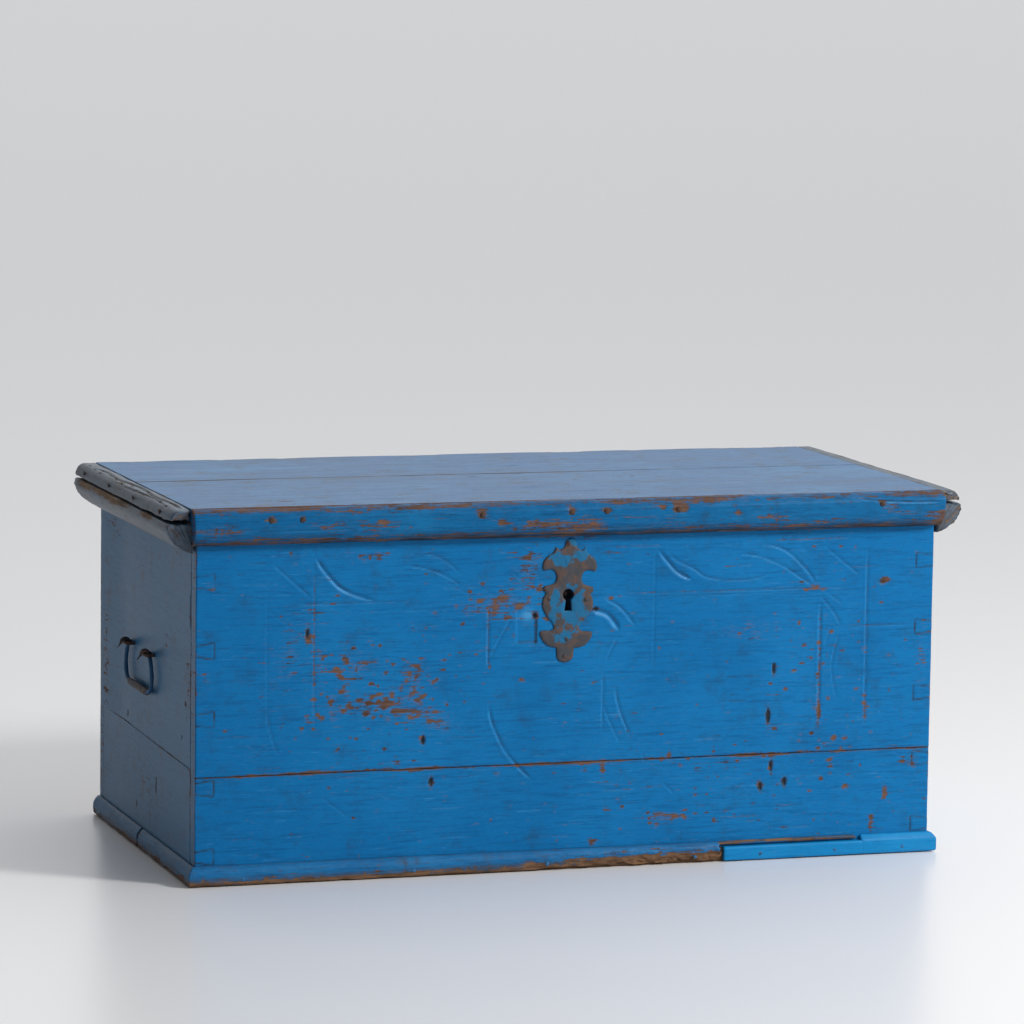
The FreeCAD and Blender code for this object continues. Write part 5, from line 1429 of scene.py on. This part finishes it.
face_nails("foot_nails", foot_nails, 3.0, 0.6, 731, "carcass", painted_nail,
           ["base_nails"])


# ------------------------------------------------------------------ handles

hook_radius = 6.2
hook_y = 63.0
prong = 11.0
STAPLE_RADIUS = 2.6
TIP_RADIUS, ROD_MORE, GRIP_MORE = 0.6, 2.5, 2.3
TIP_RUN = 17
SIDES_ROUND = 16


def handle_line():
    """Half of a handle in (outward, y, z) from the turning axis: a straight tip, the hook's
    half circle over the staple, then a leg that bows out and turns into the grip."""
    tip = np.linspace([hook_radius + 5.5, hook_y, -7.5], [hook_radius, hook_y, 0], 6)[:-1]
    turn = np.linspace(0, math.pi, 13)
    hook = np.stack([hook_radius * np.cos(turn), np.full(13, hook_y),
                     hook_radius * np.sin(turn)], axis=1)
    leg = smooth_line([(hook_y, 0), (hook_y + 7, -5.2), (hook_y + 12.6, -12.6),
                       (hook_y + 17, -22), (hook_y + 19, -33), (hook_y + 16, -45.5),
                       (hook_y + 7, -54.4), (56, -58), (30, -58.5), (0, -57.6)], 7)[1:]
    leg = np.column_stack([np.full(len(leg), -hook_radius), leg])
    return np.vstack([tip, hook, leg])


def handle(side, sign):
    """The bail: its radius grows from a pointed tip to thin legs and a thick worn grip."""
    axis = joint_place(f"{side}_handle_swing")
    half_line = handle_line()
    line = np.vstack([half_line, (half_line * [1, -1, 1])[-2::-1]])
    walked = np.concatenate([[0], np.cumsum(np.linalg.norm(np.diff(line, axis=0), axis=1))])
    from_end = np.minimum(walked, walked[-1] - walked)
    middle = np.abs(walked - walked[-1] / 2)
    radius = (TIP_RADIUS + ROD_MORE * rise(from_end, 0, TIP_RUN)
              + GRIP_MORE * rise(-middle, -66, -50))
    radius = radius + 0.28 * rough(walked / 6, walked * 0, 801, 3)
    line = axis + line[:, :1] * (sign * X) + line[:, 1:2] * Y + line[:, 2:] * Z
    points, faces = tube(line, radius, SIDES_ROUND)
    dent = 0.22 * rough(points[:, 1] / 4, points[:, 2] / 4 + points[:, 0] / 5, 805, 2)
    centre = np.repeat(line, SIDES_ROUND, axis=0)
    away = points - centre
    points = centre + away * (1 + dent / np.maximum(np.linalg.norm(away, axis=1), 1))[:, None]
    grip = np.repeat(rise(-middle, -68, -54), SIDES_ROUND)
    wear = grip * 0.75 + 0.9 * np.repeat(rise(-from_end, -34, -20), SIDES_ROUND) - 0.15
    add_piece(f"{side}_handle", points, faces, f"{side}_handle", [handle_finish],
              [f"{side}_handle_bail"], {"wear": wear})


def handle_staples(side, sign):
    """Bent iron staples: a bar between two prongs that go through the wall."""
    axis = joint_place(f"{side}_handle_swing")
    parts = []
    for end in (-1, 1):
        centre = axis + end * hook_y * Y
        run = abs(axis[0]) - right + wall + 2
        flat = smooth_line([(-run, -prong), (-run * 0.5, -prong), (-5, -prong),
                            (-1.2, 1.4 - prong), (0, -5), (0, 0), (0, 5), (-1.2, prong - 1.4),
                            (-5, prong), (-run * 0.5, prong), (-run, prong)], 5)
        line = centre + flat[:, :1] * (sign * X) + flat[:, 1:] * Y
        radius = STAPLE_RADIUS + 0.2 * rough(np.arange(len(line)) / 3, np.zeros(len(line)), 811, 3)
        parts.append(tube(line, radius, 12))
    points, faces = together(parts)
    add_piece(f"{side}_staples", points, faces, "carcass", [dark_iron],
              [f"{side}_handle_staples"])


for side, sign in (("left", -1), ("right", 1)):
    handle(side, sign)
    handle_staples(side, sign)


# ------------------------------------------------------------------ pieces kept from the frame

def refinish(names, finish):
    """Gives CAD pieces that keep their shape a better finish."""
    for name in names:
        for entry in frame["nodes"][name].material_slots:
            entry.link = "OBJECT"
            entry.material = finish


refinish(["bottom_board_front", "bottom_board_middle", "bottom_board_back"], pine_x)
refinish(["lock_plate", "lock_case", "lock_bolt", "bolt_guides", "bolt_spring", "key_post",
          "lock_ward", "lock_nails", "hinge_back_leaf_left", "hinge_back_leaf_right",
          "hinge_pins", "hinge_leaf_nails", "hinge_strap_left", "hinge_strap_right",
          "hinge_strap_nails", "lid_hasp", "hasp_nails", "bottom_nails"], dark_iron)


# ------------------------------------------------------------------ floor, light and camera

def plain(name, color, roughness):
    """A material of one colour."""
    finish = bpy.data.materials.new(name)
    finish.use_nodes = True
    surface = finish.node_tree.nodes["Principled BSDF"]
    surface.inputs["Base Color"].default_value = color
    surface.inputs["Roughness"].default_value = roughness
    return finish


floor_mesh = bpy.data.meshes.new("floor")
FLOOR = 200
floor_mesh.from_pydata([(-FLOOR, -FLOOR, 0), (FLOOR, -FLOOR, 0), (FLOOR, FLOOR, 0),
                        (-FLOOR, FLOOR, 0)], [], [(0, 1, 2, 3)])
floor_mesh.materials.append(plain("floor_paint", (0.85, 0.85, 0.86, 1), 0.3))
floor = bpy.data.objects.new("floor", floor_mesh)
bpy.context.scene.collection.objects.link(floor)

world = bpy.data.worlds.new("studio")
bpy.context.scene.world = world
world.use_nodes = True
sky = world.node_tree
direction = add(sky, "ShaderNodeSeparateXYZ",
                {0: sky.nodes.new("ShaderNodeTexCoord").outputs["Generated"]})
to_right = step_between(sky, direction.outputs["X"], -0.45, 0.2)
to_back = step_between(sky, direction.outputs["Y"], -0.6, 0.5)
to_bright = calc(sky, "MULTIPLY", calc(sky, "MULTIPLY_ADD", to_right, 0.72, 0.28),
                 calc(sky, "MULTIPLY_ADD", to_back, 0.45, 0.55))
sky.links.new(mixed(sky, to_bright, (0.0, 0.0, 0.0, 1), (0.94, 0.95, 0.97, 1)),
              sky.nodes["Background"].inputs["Color"])
sky.nodes["Background"].inputs["Strength"].default_value = 1.0
bpy.context.scene.view_settings.view_transform = "Standard"


def soft_light(name, place, aim, size, power, color):
    """A round soft light at a place, turned to face aim."""
    light = bpy.data.lights.new(name, "AREA")
    light.shape = "DISK"
    light.size = size
    light.energy = power
    light.color = color
    item = bpy.data.objects.new(name, light)
    item.location = place
    item.rotation_mode = "QUATERNION"
    item.rotation_quaternion = (Vector(aim) - Vector(place)).to_track_quat("-Z", "Y")
    bpy.context.scene.collection.objects.link(item)


soft_light("key_light", (3.6, -3.4, 3.2), (0, 0, 0.3), 1.2, 260, (1.0, 0.98, 0.95))

SENSOR_WIDTH, LENS_LENGTH = 36, 175.78125
CAMERA_X, CAMERA_Y, CAMERA_Z = -2.3492, -7.2389, 1.4456
YAW, PITCH, ROLL = math.radians(17.983), math.radians(7.096), math.radians(0.758)
ahead = Vector((math.sin(YAW) * math.cos(PITCH), math.cos(YAW) * math.cos(PITCH),
                -math.sin(PITCH)))
level_right = Vector((math.cos(YAW), -math.sin(YAW), 0))
level_up = level_right.cross(ahead)
camera_right = level_right * math.cos(ROLL) + level_up * math.sin(ROLL)
camera_up = level_up * math.cos(ROLL) - level_right * math.sin(ROLL)
lens = bpy.data.cameras.new("camera")
lens.sensor_width = SENSOR_WIDTH
lens.lens = LENS_LENGTH
camera = bpy.data.objects.new("camera", lens)
turned = Matrix((camera_right, camera_up, -ahead)).transposed()
place = (CAMERA_X, CAMERA_Y + middle_y * MM, CAMERA_Z)
camera.matrix_world = Matrix.Translation(place) @ turned.to_4x4()
bpy.context.scene.collection.objects.link(camera)
bpy.context.scene.camera = camera
